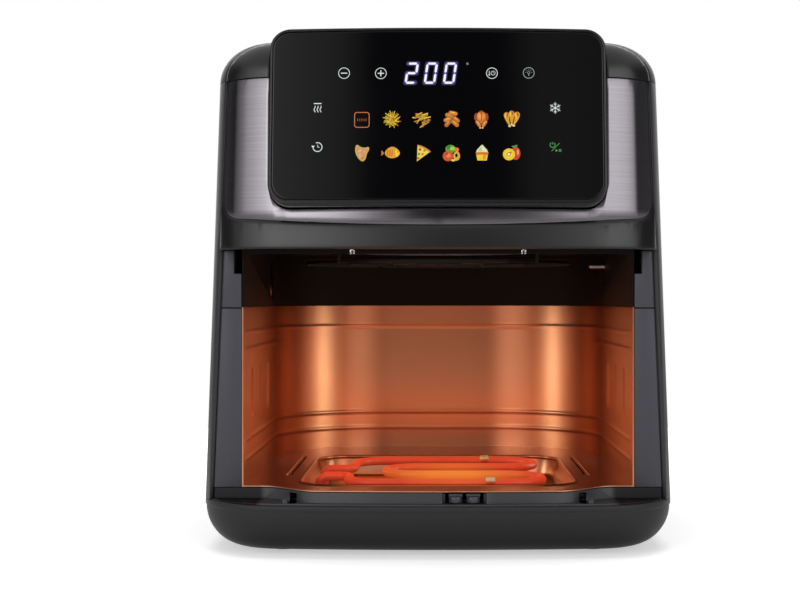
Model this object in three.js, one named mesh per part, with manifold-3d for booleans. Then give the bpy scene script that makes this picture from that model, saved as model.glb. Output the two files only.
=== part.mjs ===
// Countertop air fryer with two heating elements, shown with its drawer taken out.
// Millimetres, +Z up. X runs to the right and Y to the back, so the front faces -Y.
// The origin is on the surface that the feet stand on, under the middle of the machine.

import * as THREE from 'three';
import { mergeVertices } from 'three/addons/utils/BufferGeometryUtils.js';
import Module from 'manifold-3d';

const wasm = await Module();
wasm.setup();

// Clearances that the whole machine shares
const gap = 0.3;
const seam = 0.6;
const overrun = 5;
const farReach = 1000;

// Housing outline, seen from above, at the seam between tub and shell
const body = {
  halfWidth: 160,
  frontY: -170,
  rearY: 164,
  frontBow: 1200,
  rearBow: 1500,
  frontCorner: 55,
  rearCorner: 50,
  draftDegrees: 2,
  wall: 2.6,
  seamZ: 34.5,
  shoulderZ: 317,
  shoulderRun: 31,
  shoulderRise: 27.5,
  bowSteps: 3,
  cornerSteps: 6,
  shoulderSteps: 5,
};

// Centre of the round corners at the front, where the bowed front runs into them
const frontSpan = body.frontBow - body.frontCorner;
const frontCornerX = body.halfWidth - body.frontCorner;
const frontCornerY = body.frontY + body.frontBow - Math.sqrt(frontSpan ** 2 - frontCornerX ** 2);

// How far parts stand in from the widest line of the housing's sides
const inFromSide = {
  fascia: 15.8,
  cavity: 28.7,
  headerLip: 31,
  shield: 32,
  sillSwing: 42,
  panel: 49,
  feet: 55,
  recess: 66,
};

// Tub under the machine, with a rolled band along its top edge
const tub = {
  wall: 3,
  floorZ: 2.5,
  floorThickness: 3,
  edgeRun: 27,
  bandHeight: 4,
  bandStep: 0.6,
  rimRound: 0.7,
  ledgeWidth: 9,
  ledgeThickness: 2.5,
  ledgeSlope: 4,
  edgeSteps: 5,
  innerEdgeSteps: 3,
};

const foot = {
  radius: 11,
  chamfer: 1,
  studRadius: 3,
  halfSpacingX: body.halfWidth - inFromSide.feet,
  frontY: -118,
  rearY: 112,
  sides: 12,
};

// Front of the machine: what stays when the drawer is out
const jambBeforeCorner = 24.825;
const front = {
  jambPlaneY: frontCornerY - jambBeforeCorner,
  headerZ: 203,
  jambDepth: 12,
  jambSplitZ: 164,
  notchWidth: 5.1,
  notchHeight: 15.5,
};

// Sill under the drawer mouth: a ledge, and a raised lip that swings forward in the middle
const sill = {
  ledgeZ: 36,
  ledgeInset: 1.6,
  topZ: 42.9,
  reach: 25.5,
  swingStart: body.halfWidth - inFromSide.sillSwing,
  swingRun: 38,
  bow: 1200,
  thickness: 4.7,
  blockDepth: 12,
  openRearY: 140,
  chamferRun: 4.6,
  postInset: 17.6,
  postSize: 3,
  postHeight: 2.6,
  postY: -160.5,
  slotWidth: 5,
  slotTopZ: 41.5,
  curveStep: 9.5,
};

const swingEnd = sill.swingStart - sill.swingRun;
const postX = sill.swingStart - sill.postInset;

// Cooking cavity, pressed from sheet steel
const cavity = {
  halfWidth: body.halfWidth - inFromSide.cavity,
  sheet: 1,
  floorZ: 44.2,
  topZ: 164.5,
  ceilingZ: 205,
  rearY: 129,
  cornerRun: 90,
  cornerDepth: 80,
  cornerSteps: 6,
  ribRise: 1.5,
  ribHalfHeight: 2.5,
  frontInset: 0.5,
};
const sideRibZ = [60.5, 74, 135.5, 147];
const allRoundRibZ = [60.5, 74, 147];
const emboss = {
  bottomZ: 86,
  topZ: 123,
  width: 11,
  rise: 1.4,
  firstBehindJamb: 47,
  pitch: 46.5,
  count: 3,
  sides: 8,
};
const recess = {
  halfWidth: body.halfWidth - inFromSide.recess,
  frontY: front.jambPlaneY + cavity.sheet,
  rearY: 49,
  corner: 24,
  cornerSteps: 4,
  flange: 8,
  floorZ: 28,
  draft: 4,
};
const floorSlot = {
  besideRecess: 11.5,
  frontY: -73,
  rearY: 45,
  width: 3.4,
  railWidth: 1.2,
  railRise: 1.6,
  holeLength: 9,
};
const floorSlotX = recess.halfWidth + floorSlot.besideRecess;

// Heating elements: sheathed tubes
const element = {
  tubeRadius: 3.25,
  sides: 8,
  runZ: 43.5,
  runY: [-116, -70, -24, 20],
  rightInset: 21,
  innerLeftInset: 56,
  outerLeftInset: 31.4,
  dropInset: 9.5,
  dropY: [-76.5, -33.5],
  dropBend: 6,
  bendRadius: 22.9,
  bendSteps: 4,
};
const elementClip = {
  inset: 58,
  width: 6.6,
  band: 1,
  legThickness: 2,
  sides: 10,
};
const elementX = {
  right: recess.halfWidth - element.rightInset,
  clip: recess.halfWidth - elementClip.inset,
  innerLeft: element.innerLeftInset - recess.halfWidth,
  outerLeft: element.outerLeftInset - recess.halfWidth,
  drop: element.dropInset - recess.halfWidth,
};
const terminal = {
  length: 12,
  sideMargin: 6,
};
const pipe = {
  outerLoop: 84,
  innerLoop: 66,
  z: 211,
  leadTurn: 8,
  leadTopZ: 243,
  leadDegrees: 10,
  hairpinDegrees: 330,
  stepDegrees: 22,
};

// Hot-air fan above the cavity, and its motor
const fan = {
  y: -5,
  shroudRadius: 92,
  shroudFlange: 9,
  shroudTopZ: 240,
  sheet: 1,
  shaftRadius: 3,
  shaftBottomZ: 217,
  shaftTopZ: 305,
  shaftHole: 8,
  discRadius: 74,
  discZ: 230,
  discThickness: 1.2,
  bladeHeight: 10,
  bladeLength: 26,
  bladeThickness: 1,
  blades: 12,
  hubRadius: 9,
  hubHeight: 14,
  sides: 28,
};
const guard = {
  z: 196,
  wire: 2.2,
  ringShares: [0.34, 0.67, 1],
  beyondShroud: 8,
  spokes: 3,
  legs: 4,
  sides: 18,
};
const guardRadius = fan.shroudRadius + guard.beyondShroud;
const shield = {
  z: 244,
  thickness: 1.2,
  halfWidth: body.halfWidth - inFromSide.shield,
  frontY: -128,
  rearY: 132,
  legInset: 16,
  legFrontY: -112,
  legRearY: 88,
  legRadius: 4,
};
const motor = {
  footZ: 245.5,
  lowerBracketZ: 252,
  strap: 1.6,
  strapHalfLength: 34,
  strapWidth: 22,
  bearingOuter: 8,
  bearingHeight: 6,
  stackZ: 261,
  stackHeight: 22,
  stackHalfWidth: 30,
  stackFront: 30,
  stackRear: 52,
  rotorRadius: 15.7,
  rotorGap: 0.6,
  windowInner: 8,
  windowOuter: 22,
  windowFront: 22,
  windowRear: 44,
  coilOverhang: 6,
  postRadius: 2.2,
  upperBracketZ: 289,
};
const coolingFan = {
  z: 298,
  hubRadius: 9,
  hubHeight: 8,
  bladeRadius: 46,
  bladeWidth: 16,
  bladeThickness: 1.4,
  pitchDegrees: 32,
  blades: 7,
};

// Control panel: a black glass that leans back in a moulded bezel
const panel = {
  halfWidth: body.halfWidth - inFromSide.panel,
  height: 119.8,
  bottomZ: 231,
  bottomY: -169,
  leanDegrees: 6.7,
  corner: 14,
  crown: 1.4,
  depth: 11.5,
  rimSide: 2,
  rimTop: 2.2,
  rimBottom: 3.6,
  glassThickness: 3,
  glassSunk: 0.4,
  glassLedge: 4,
  backThickness: 1.8,
  shadowGap: 0.8,
  collar: 2.2,
  ledge: 7,
  cornerSteps: 5,
  crownSteps: 6,
};
const board = {
  margin: 7,
  thickness: 1.4,
  boss: 3,
  chipSize: 9,
  chipHeight: 1.6,
};
const digits = {
  centreX: -6,
  belowTop: 31.4,
  width: 70,
  height: 26,
};
const digitsV = panel.height - digits.belowTop;

// Brushed plate round the head's front
const fascia = {
  thickness: 1,
  recess: 1.5,
  halfWidth: body.halfWidth - inFromSide.fascia,
  bottomZ: 219,
  smile: 4.5,
  belowShoulder: 0.7,
  lowerCorner: 12,
  groove: 1.6,
  bevelDepth: 0.9,
  smileSteps: 8,
};
const fasciaTopZ = body.shoulderZ - fascia.belowShoulder;
const frameWall = 3;

// Underside of the head, behind the header's lower edge
const headerLip = {
  z: 203.2,
  thickness: 1.6,
  lipDrop: 2.8,
  lipDepth: 3.2,
  halfWidth: body.halfWidth - inFromSide.headerLip,
};
const headerClip = {
  x: 56.4,
  y: -157.5,
  width: 3.2,
  prong: 1.1,
  height: 3.2,
  depth: 3,
  bridge: 0.9,
};

// Sprung catch on the sill that holds the drawer shut
const latch = {
  x: 17.3,
  rollerRadius: 4.5,
  rollerGap: 2.5,
  rollerHeight: 4.2,
  rollerLift: 0.6,
  rollerY: -161.6,
  pinRadius: 1.2,
  plate: 1.4,
  armLength: 13,
  armWidth: 4.4,
  armHeight: 3.6,
  wall: 1.6,
  housingRearY: -145,
  travel: 2,
  sides: 14,
};
const drawerSwitch = {
  width: 10,
  depth: 10,
  frontY: -139.5,
  height: 5.3,
  plungerRadius: 1.2,
  plungerLength: 9,
  plungerOut: 5,
  boreDepth: 7,
  sides: 12,
};

// Small parts round the cavity
const lamp = {
  y: 30,
  z: 185,
  holeRadius: 14,
  flangeRadius: 17,
  lensDome: 1.8,
  lensThickness: 2,
  socketRadius: 11,
  socketLength: 14,
  sides: 14,
};
const probe = {
  y: 30,
  z: 196,
  radius: 2.2,
  inside: 14,
  flangeRadius: 5.5,
  flangeThickness: 3,
  outside: 9,
  sides: 12,
};
const fuse = {
  x: 48,
  radius: 1.7,
  length: 14,
  plate: 1,
  plateWidth: 9,
  plateLength: 22,
  sides: 12,
};
const grille = {
  halfWidth: 60,
  height: 66,
  belowShoulder: 19,
  slotHeight: 3.4,
  bar: 3.6,
  frame: 5,
  centreRib: 5,
  thickness: 2,
};
const grilleTopZ = body.shoulderZ - grille.belowShoulder;
const grilleBottomZ = grilleTopZ - grille.height;
const gland = {
  x: 96,
  z: 62,
  flangeRadius: 11,
  flangeThickness: 2,
  neckRadius: 8,
  noseRadius: 6.4,
  bore: 3.6,
  insideLength: 8,
  sides: 14,
};
const powerBoard = {
  inset: 44,
  y: 84,
  width: 76,
  depth: 66,
  thickness: 1.6,
  standHeight: 6,
  standRadius: 3,
  edge: 6,
};
const boardPartShares = [
  { x: -0.3, y: -0.28, width: 0.25, depth: 0.22, height: 0.22 },
  { x: 0.02, y: -0.28, width: 0.25, depth: 0.22, height: 0.22 },
  { x: 0.32, y: -0.2, width: 0.16, depth: 0.4, height: 0.3 },
  { x: -0.2, y: 0.22, width: 0.4, depth: 0.3, height: 0.28 },
  { x: 0.28, y: 0.28, width: 0.24, depth: 0.2, height: 0.16 },
];

const degrees = Math.PI / 180;
const quarter = Math.PI / 2;
const wholeTurn = 2 * Math.PI;
const mergeDistance = 0.0001;
const draftSlope = Math.tan(body.draftDegrees * degrees);

// A share from 0 to 1 that starts and stops softly
function easedShare(share) {
  return share * share * (3 - 2 * share);
}

// Solids: closed meshes that can be joined and cut

function solid(geometry) {
  const bare = geometry.clone();
  for (const name of Object.keys(bare.attributes)) {
    if (name !== 'position') {
      bare.deleteAttribute(name);
    }
  }
  const merged = mergeVertices(bare, mergeDistance);
  const places = merged.getAttribute('position');
  const corners = Uint32Array.from(merged.getIndex().array);
  if (signedVolume(places, corners) < 0) {
    for (let i = 0; i < corners.length; i += 3) {
      [corners[i], corners[i + 1]] = [corners[i + 1], corners[i]];
    }
  }
  const mesh = new wasm.Mesh({
    numProp: 3,
    vertProperties: Float32Array.from(places.array),
    triVerts: corners,
  });
  return new wasm.Manifold(mesh);
}

function signedVolume(places, corners) {
  const a = new THREE.Vector3();
  const b = new THREE.Vector3();
  const c = new THREE.Vector3();
  let sum = 0;
  for (let i = 0; i < corners.length; i += 3) {
    a.fromBufferAttribute(places, corners[i]);
    b.fromBufferAttribute(places, corners[i + 1]);
    c.fromBufferAttribute(places, corners[i + 2]);
    sum += a.dot(b.cross(c));
  }
  return sum / 6;
}

function geometryOf(shape) {
  const mesh = shape.getMesh();
  const geometry = new THREE.BufferGeometry();
  const places = Float32Array.from(mesh.vertProperties);
  geometry.setAttribute('position', new THREE.BufferAttribute(places, 3));
  geometry.setIndex(new THREE.BufferAttribute(Uint32Array.from(mesh.triVerts), 1));
  geometry.computeVertexNormals();
  return geometry;
}

// A cut can leave a sliver without volume: the real body is the largest one
function mainBody(shape) {
  return shape.decompose().reduce((best, next) => (next.volume() > best.volume() ? next : best));
}

function joined(first, ...others) {
  return others.reduce((sum, next) => sum.add(next), first);
}

function block(x0, x1, y0, y1, z0, z1) {
  const geometry = new THREE.BoxGeometry(x1 - x0, y1 - y0, z1 - z0);
  geometry.translate((x0 + x1) / 2, (y0 + y1) / 2, (z0 + z1) / 2);
  return solid(geometry);
}

// A flat outline in X and Y, raised from z0 to z1
function slab(points, z0, z1, holes = []) {
  const shape = new THREE.Shape(points);
  shape.holes = holes.map((hole) => new THREE.Path(hole));
  const geometry = new THREE.ExtrudeGeometry(shape, { depth: z1 - z0, bevelEnabled: false });
  geometry.translate(0, 0, z0);
  return solid(geometry);
}

// A flat outline in X and Z, carried from y0 to y1
function slabAlongY(points, y0, y1) {
  const shape = new THREE.Shape(points);
  const geometry = new THREE.ExtrudeGeometry(shape, { depth: y1 - y0, bevelEnabled: false });
  geometry.rotateX(quarter);
  geometry.translate(0, y1, 0);
  return solid(geometry);
}

// A profile of [radius, height] pairs turned round the Z axis
function turned(profile, sides) {
  const points = profile.map(([radius, height]) => new THREE.Vector2(radius, height));
  const geometry = new THREE.LatheGeometry(points, sides);
  geometry.rotateX(quarter);
  return geometry;
}

function rod(radius, z0, z1, sides) {
  return turned([[0, z0], [radius, z0], [radius, z1], [0, z1]], sides);
}

function ringSolid(inner, outer, z0, z1, sides) {
  return turned([[inner, z0], [outer, z0], [outer, z1], [inner, z1], [inner, z0]], sides);
}

// Rings of equal count joined in turn, with flat ends
function loft(rings) {
  const count = rings[0].length;
  const places = [];
  for (const ring of rings) {
    for (const point of ring) {
      places.push(point.x, point.y, point.z);
    }
  }
  const corners = [];
  for (let level = 0; level + 1 < rings.length; level += 1) {
    for (let i = 0; i < count; i += 1) {
      const next = (i + 1) % count;
      const a = level * count + i;
      const b = level * count + next;
      corners.push(a, b, b + count, a, b + count, a + count);
    }
  }
  const last = (rings.length - 1) * count;
  for (const [a, b, c] of capTriangles(rings[0])) {
    corners.push(a, c, b);
  }
  for (const [a, b, c] of capTriangles(rings[rings.length - 1])) {
    corners.push(last + a, last + b, last + c);
  }
  const geometry = new THREE.BufferGeometry();
  geometry.setAttribute('position', new THREE.Float32BufferAttribute(places, 3));
  geometry.setIndex(corners);
  return geometry;
}

function capTriangles(ring) {
  const normal = new THREE.Vector3();
  const turn = new THREE.Vector3();
  for (let i = 0; i < ring.length; i += 1) {
    turn.crossVectors(ring[i].clone().sub(ring[0]), ring[(i + 1) % ring.length].clone().sub(ring[0]));
    normal.add(turn);
  }
  normal.normalize();
  const across = ring[1].clone().sub(ring[0]).normalize();
  const up = new THREE.Vector3().crossVectors(normal, across);
  const flat = ring.map((point) => new THREE.Vector2(point.dot(across), point.dot(up)));
  return THREE.ShapeUtils.triangulateShape(flat, []);
}

// A round tube along a list of points; where it climbs it takes its side from the fan's axis
const steepShare = 0.8;
function tubeAlong(path, radius, sides, steepHint = radialHint) {
  const rings = path.map((point, i) => {
    const before = path[Math.max(i - 1, 0)];
    const after = path[Math.min(i + 1, path.length - 1)];
    const along = after.clone().sub(before).normalize();
    const hint = Math.abs(along.z) > steepShare ? steepHint(point) : new THREE.Vector3(0, 0, 1);
    const across = new THREE.Vector3().crossVectors(hint, along).normalize();
    const up = new THREE.Vector3().crossVectors(along, across);
    return circleOf(point, across, up, radius, sides);
  });
  return loft(rings);
}

function radialHint(point) {
  return new THREE.Vector3(-point.x, fan.y - point.y, 0).normalize();
}

function circleOf(centre, across, up, radius, sides) {
  const ring = [];
  for (let i = 0; i < sides; i += 1) {
    const turn = (2 * Math.PI * i) / sides;
    const point = centre.clone();
    point.addScaledVector(across, radius * Math.cos(turn));
    point.addScaledVector(up, radius * Math.sin(turn));
    ring.push(point);
  }
  return ring;
}

// Points of an arc about a centre, both ends included
function arcPoints(centreX, centreY, radius, startAngle, endAngle, steps) {
  const points = [];
  for (let i = 0; i <= steps; i += 1) {
    const angle = startAngle + ((endAngle - startAngle) * i) / steps;
    points.push(new THREE.Vector2(centreX + radius * Math.cos(angle), centreY + radius * Math.sin(angle)));
  }
  return points;
}

// A path through corner points, each corner rounded, with at most this share of a stretch per bend
const roomShare = 0.499;
function filletPath(corners, radius, steps) {
  const points = [corners[0].clone()];
  for (let i = 1; i + 1 < corners.length; i += 1) {
    const toBefore = corners[i - 1].clone().sub(corners[i]);
    const toAfter = corners[i + 1].clone().sub(corners[i]);
    const room = Math.min(toBefore.length(), toAfter.length()) * roomShare;
    const bend = Math.min(radius, room);
    toBefore.normalize();
    toAfter.normalize();
    const centre = corners[i].clone().addScaledVector(toBefore, bend).addScaledVector(toAfter, bend);
    const from = toAfter.clone().negate();
    const to = toBefore.clone().negate();
    for (let step = 0; step <= steps; step += 1) {
      const turn = (quarter * step) / steps;
      const offset = from.clone().multiplyScalar(Math.cos(turn)).addScaledVector(to, Math.sin(turn));
      points.push(centre.clone().addScaledVector(offset, bend));
    }
  }
  points.push(corners[corners.length - 1].clone());
  return points;
}

// The housing's outline at an inset: bowed front and rear, round corners, straight sides
function outline(inset) {
  const frontCentre = body.frontY + body.frontBow;
  const frontTurn = Math.asin(frontCornerX / frontSpan);
  const rearCentre = body.rearY - body.rearBow;
  const rearX = body.halfWidth - body.rearCorner;
  const rearSpan = body.rearBow - body.rearCorner;
  const rearCornerY = rearCentre + Math.sqrt(rearSpan ** 2 - rearX ** 2);
  const rearTurn = Math.asin(rearX / rearSpan);
  const frontHalfArc = arcPoints(
    0, frontCentre, body.frontBow - inset, -quarter, -quarter + frontTurn, body.bowSteps);
  const rearHalfArc = arcPoints(
    0, rearCentre, body.rearBow - inset, quarter - rearTurn, quarter, body.bowSteps);
  const right = [
    ...frontHalfArc.slice(0, -1),
    ...arcPoints(
      frontCornerX, frontCornerY, body.frontCorner - inset, -quarter + frontTurn, 0, body.cornerSteps),
    ...arcPoints(rearX, rearCornerY, body.rearCorner - inset, 0, quarter - rearTurn, body.cornerSteps),
    ...rearHalfArc.slice(1),
  ];
  right[0].x = 0;
  right[right.length - 1].x = 0;
  const left = right.slice(1, -1).reverse().map((point) => new THREE.Vector2(-point.x, point.y));
  return [...right, ...left];
}

function ringAt(inset, z) {
  return outline(inset).map((point) => new THREE.Vector3(point.x, point.y, z));
}

// The whole body above the tub, shrunk by an inset: drafted walls, then the rounded shoulder
function bodySolid(inset) {
  const rings = [ringAt(inset, body.seamZ)];
  const drafted = (body.shoulderZ - body.seamZ) * draftSlope;
  for (let i = 0; i <= body.shoulderSteps; i += 1) {
    const turn = (quarter * i) / body.shoulderSteps;
    const run = (body.shoulderRun - inset) * (1 - Math.cos(turn));
    const rise = (body.shoulderRise - inset) * Math.sin(turn);
    rings.push(ringAt(drafted + inset + run, body.shoulderZ + rise));
  }
  return solid(loft(rings));
}

function insetAt(z) {
  return (z - body.seamZ) * draftSlope;
}

// The sill's face and what follows it: how far forward it swings at a distance from the middle
function sillY(x) {
  const share = (sill.swingStart - Math.abs(x)) / (sill.swingStart - swingEnd);
  const clipped = Math.min(Math.max(share, 0), 1);
  const swing = easedShare(clipped);
  const inner = Math.min(Math.abs(x), swingEnd);
  const bowed = (swingEnd ** 2 - inner ** 2) / (2 * sill.bow);
  return front.jambPlaneY - sill.reach * swing - bowed;
}

function sillLine(halfWidth, setback) {
  const steps = 2 * Math.round(halfWidth / sill.curveStep);
  const points = [];
  for (let i = 0; i <= steps; i += 1) {
    const x = -halfWidth + (2 * halfWidth * i) / steps;
    points.push(new THREE.Vector2(x, sillY(x) + setback));
  }
  return points;
}

function roundedRectangle(x0, x1, y0, y1, radius, steps) {
  return [
    ...arcPoints(x1 - radius, y0 + radius, radius, -quarter, 0, steps),
    ...arcPoints(x1 - radius, y1 - radius, radius, 0, quarter, steps),
    ...arcPoints(x0 + radius, y1 - radius, radius, quarter, 2 * quarter, steps),
    ...arcPoints(x0 + radius, y0 + radius, radius, 2 * quarter, 3 * quarter, steps),
  ];
}

// The cavity's wall seen from above: straight sides, wide round rear corners, open front
function cavityPath(offset) {
  const reachX = cavity.halfWidth + offset;
  const cornerX = cavity.halfWidth - cavity.cornerRun;
  const cornerY = cavity.rearY - cavity.cornerDepth;
  const right = [new THREE.Vector2(reachX, front.jambPlaneY + cavity.frontInset)];
  for (let i = 0; i <= cavity.cornerSteps; i += 1) {
    const turn = (quarter * i) / cavity.cornerSteps;
    const x = cornerX + (cavity.cornerRun + offset) * Math.cos(turn);
    const y = cornerY + (cavity.cornerDepth + offset) * Math.sin(turn);
    right.push(new THREE.Vector2(x, y));
  }
  const left = right.slice().reverse().map((point) => new THREE.Vector2(-point.x, point.y));
  return [...right, ...left];
}

function cavityWallRing(z, sideRise, rearRise) {
  const isRear = (point) => point.y > cavity.rearY - cavity.cornerDepth + seam;
  const flatInner = cavityPath(0);
  const flatOuter = cavityPath(cavity.sheet);
  const sideInner = cavityPath(-sideRise);
  const rearInner = cavityPath(-rearRise);
  const sideOuter = cavityPath(cavity.sheet - sideRise);
  const rearOuter = cavityPath(cavity.sheet - rearRise);
  const inner = flatInner.map((point, i) => (isRear(point) ? rearInner[i] : sideInner[i]));
  const outer = flatOuter.map((point, i) => (isRear(flatInner[i]) ? rearOuter[i] : sideOuter[i]));
  return [...outer, ...inner.reverse()].map((point) => new THREE.Vector3(point.x, point.y, z));
}

const steel = (colour, roughness) => ({ color: colour, roughness, metalness: 1 });
const plastic = (colour, roughness) => ({ color: colour, roughness, metalness: 0 });
const looks = {
  shell: plastic(0x2b2a2c, 0.42),
  tub: plastic(0x2c2b2c, 0.5),
  jamb: plastic(0x46454d, 0.45),
  brushed: steel(0x77737a, 0.32),
  bezel: plastic(0x3a393d, 0.35),
  glass: plastic(0x0a0b0d, 0.05),
  liner: steel(0xb9a79a, 0.3),
  enamel: plastic(0x1b1a1a, 0.4),
  heated: plastic(0xe8502c, 0.45),
  sheath: steel(0x5d5a58, 0.5),
  brass: steel(0xd8b35c, 0.35),
  zinc: steel(0xa9adb1, 0.4),
  ceramic: plastic(0xe6e0d4, 0.6),
  copper: steel(0xb4683c, 0.35),
  board: plastic(0x1f5a38, 0.5),
  rubber: plastic(0x161616, 0.8),
  chrome: steel(0xdfe2e6, 0.12),
  nylon: plastic(0x8b8f98, 0.4),
  lens: plastic(0xe9e4d6, 0.15),
};

const group = new THREE.Group();

function piece(name, shape, look, parent = group) {
  const geometry = shape instanceof THREE.BufferGeometry ? shape : geometryOf(shape);
  const mesh = new THREE.Mesh(geometry, new THREE.MeshStandardMaterial(look));
  mesh.name = name;
  parent.add(mesh);
  return mesh;
}

// Tub and feet

function tubSolid() {
  const bandZ = body.seamZ - tub.bandHeight;
  const bottomRise = bandZ - tub.floorZ;
  const outer = [];
  const inner = [];
  for (let i = 0; i <= tub.edgeSteps; i += 1) {
    const turn = quarter * (1 - i / tub.edgeSteps);
    const run = (tub.edgeRun - tub.bandStep) * (1 - Math.cos(turn));
    outer.push([tub.bandStep + run, bandZ - bottomRise * Math.sin(turn)]);
  }
  const ledgeBottom = body.seamZ - tub.ledgeThickness - tub.ledgeSlope;
  for (let i = 0; i <= tub.innerEdgeSteps; i += 1) {
    const turn = quarter * (1 - i / tub.innerEdgeSteps);
    const run = (tub.edgeRun - tub.wall) * (1 - Math.cos(turn));
    const drop = (ledgeBottom - tub.floorZ - tub.floorThickness) * Math.sin(turn);
    inner.push([tub.wall + run, ledgeBottom - drop]);
  }
  const rim = [
    [0, bandZ + tub.bandStep],
    [0, body.seamZ - tub.rimRound],
    [tub.rimRound, body.seamZ],
    [tub.ledgeWidth, body.seamZ],
    [tub.ledgeWidth, body.seamZ - tub.ledgeThickness],
  ];
  const levels = [...outer, ...rim, ...inner.reverse()];
  return solid(loft(levels.map(([inset, z]) => ringAt(inset, z))));
}

const footPlaces = [
  ['foot_front_left', -foot.halfSpacingX, foot.frontY],
  ['foot_front_right', foot.halfSpacingX, foot.frontY],
  ['foot_rear_left', -foot.halfSpacingX, foot.rearY],
  ['foot_rear_right', foot.halfSpacingX, foot.rearY],
];

let tubShape = tubSolid();
for (const [, x, y] of footPlaces) {
  const hole = rod(foot.studRadius + gap, 0, tub.floorZ + tub.floorThickness + overrun, foot.sides);
  tubShape = tubShape.subtract(solid(hole.translate(x, y, 0)));
}
piece('base_tub', tubShape, looks.tub);

for (const [name, x, y] of footPlaces) {
  const topZ = tub.floorZ - gap;
  const profile = [
    [0, 0],
    [foot.radius - foot.chamfer, 0],
    [foot.radius, foot.chamfer],
    [foot.radius, topZ],
    [foot.studRadius, topZ],
    [foot.studRadius, tub.floorZ + tub.floorThickness],
    [0, tub.floorZ + tub.floorThickness],
  ];
  piece(name, solid(turned(profile, foot.sides)), looks.rubber).position.set(x, y, 0);
}

// Housing above the tub, split where the mouldings meet

const bodyOuter = bodySolid(0);
const bodyHollow = bodyOuter.subtract(bodySolid(body.wall));
const insideShell = bodySolid(body.wall + gap);
const frontHalf = -farReach;

function outerShell() {
  const below = block(-farReach, farReach, -farReach, farReach, body.seamZ + gap, body.shoulderZ - gap / 2);
  const inFront = block(-farReach, farReach, frontHalf, front.jambPlaneY + gap / 2, 0, farReach);
  const window = block(
    -grille.halfWidth - gap, grille.halfWidth + gap, 0, farReach, grilleBottomZ - gap, grilleTopZ + gap);
  const glandHole = rod(gland.neckRadius + gap, -farReach, 0, gland.sides).rotateX(quarter);
  glandHole.translate(gland.x, 0, gland.z);
  return bodyHollow
    .intersect(below)
    .subtract(inFront)
    .subtract(window)
    .subtract(solid(glandHole));
}
piece('outer_shell', outerShell(), looks.shell);

function topCover() {
  const above = block(
    -farReach, farReach, front.jambPlaneY + gap / 2, farReach, body.shoulderZ + gap / 2, farReach);
  return bodyHollow.intersect(above);
}
piece('top_cover', topCover(), looks.shell);

// Control panel outline, in the panel's own plane: X across, Y up the glass, Z out of it
function panelOutline(side, top, bottom, round) {
  const x = panel.halfWidth - side;
  const y0 = bottom;
  const y1 = panel.height - panel.crown - top;
  const bow = (x ** 2 + panel.crown ** 2) / (2 * panel.crown);
  const points = [
    ...arcPoints(x - round, y0 + round, round, -quarter, 0, panel.cornerSteps),
    ...arcPoints(x - round, y1 - round, round, 0, quarter, panel.cornerSteps).slice(0, -1),
  ];
  const crownHalf = x - round;
  for (let i = 0; i <= panel.crownSteps; i += 1) {
    const across = crownHalf - (2 * crownHalf * i) / panel.crownSteps;
    const lift = Math.sqrt(bow ** 2 - across ** 2) - Math.sqrt(bow ** 2 - crownHalf ** 2);
    points.push(new THREE.Vector2(across, y1 + lift));
  }
  points.push(...arcPoints(-x + round, y1 - round, round, quarter, 2 * quarter, panel.cornerSteps).slice(1));
  points.push(...arcPoints(-x + round, y0 + round, round, 2 * quarter, 3 * quarter, panel.cornerSteps));
  return points;
}

const panelMatrix = new THREE.Matrix4()
  .makeTranslation(0, panel.bottomY, panel.bottomZ)
  .multiply(new THREE.Matrix4().makeRotationX(quarter - panel.leanDegrees * degrees));

function panelSlab(points, z0, z1) {
  const shape = new THREE.Shape(points);
  const geometry = new THREE.ExtrudeGeometry(shape, { depth: z1 - z0, bevelEnabled: false });
  geometry.translate(0, 0, z0);
  return geometry;
}

function panelCutter(grow, z0, z1) {
  const geometry = panelSlab(panelOutline(-grow, -grow, -grow, panel.corner + grow), z0, z1);
  return solid(geometry.applyMatrix4(panelMatrix));
}

// Front moulding: visor, surround of the brushed plate, collar of the panel, and header
function fasciaOutline(grow) {
  const x = fascia.halfWidth + grow;
  const cornerZ = fascia.bottomZ + fascia.smile - grow;
  const round = fascia.lowerCorner;
  const points = [];
  const lowHalf = x - round;
  const bow = (lowHalf ** 2 + fascia.smile ** 2) / (2 * fascia.smile);
  for (let i = 0; i <= fascia.smileSteps; i += 1) {
    const across = -lowHalf + (2 * lowHalf * i) / fascia.smileSteps;
    const drop = Math.sqrt(bow ** 2 - across ** 2) - (bow - fascia.smile);
    points.push(new THREE.Vector2(across, cornerZ - drop));
  }
  const topX = x - (fasciaTopZ - fascia.bottomZ) * draftSlope;
  points.push(...arcPoints(x - round, cornerZ + round, round, -quarter, 0, panel.cornerSteps).slice(1));
  points.push(new THREE.Vector2(topX, fasciaTopZ + grow));
  points.push(new THREE.Vector2(-topX, fasciaTopZ + grow));
  const lastCorner = arcPoints(
    -x + round, cornerZ + round, round, 2 * quarter, 3 * quarter, panel.cornerSteps);
  points.push(...lastCorner.slice(0, -1));
  return points;
}

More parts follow.
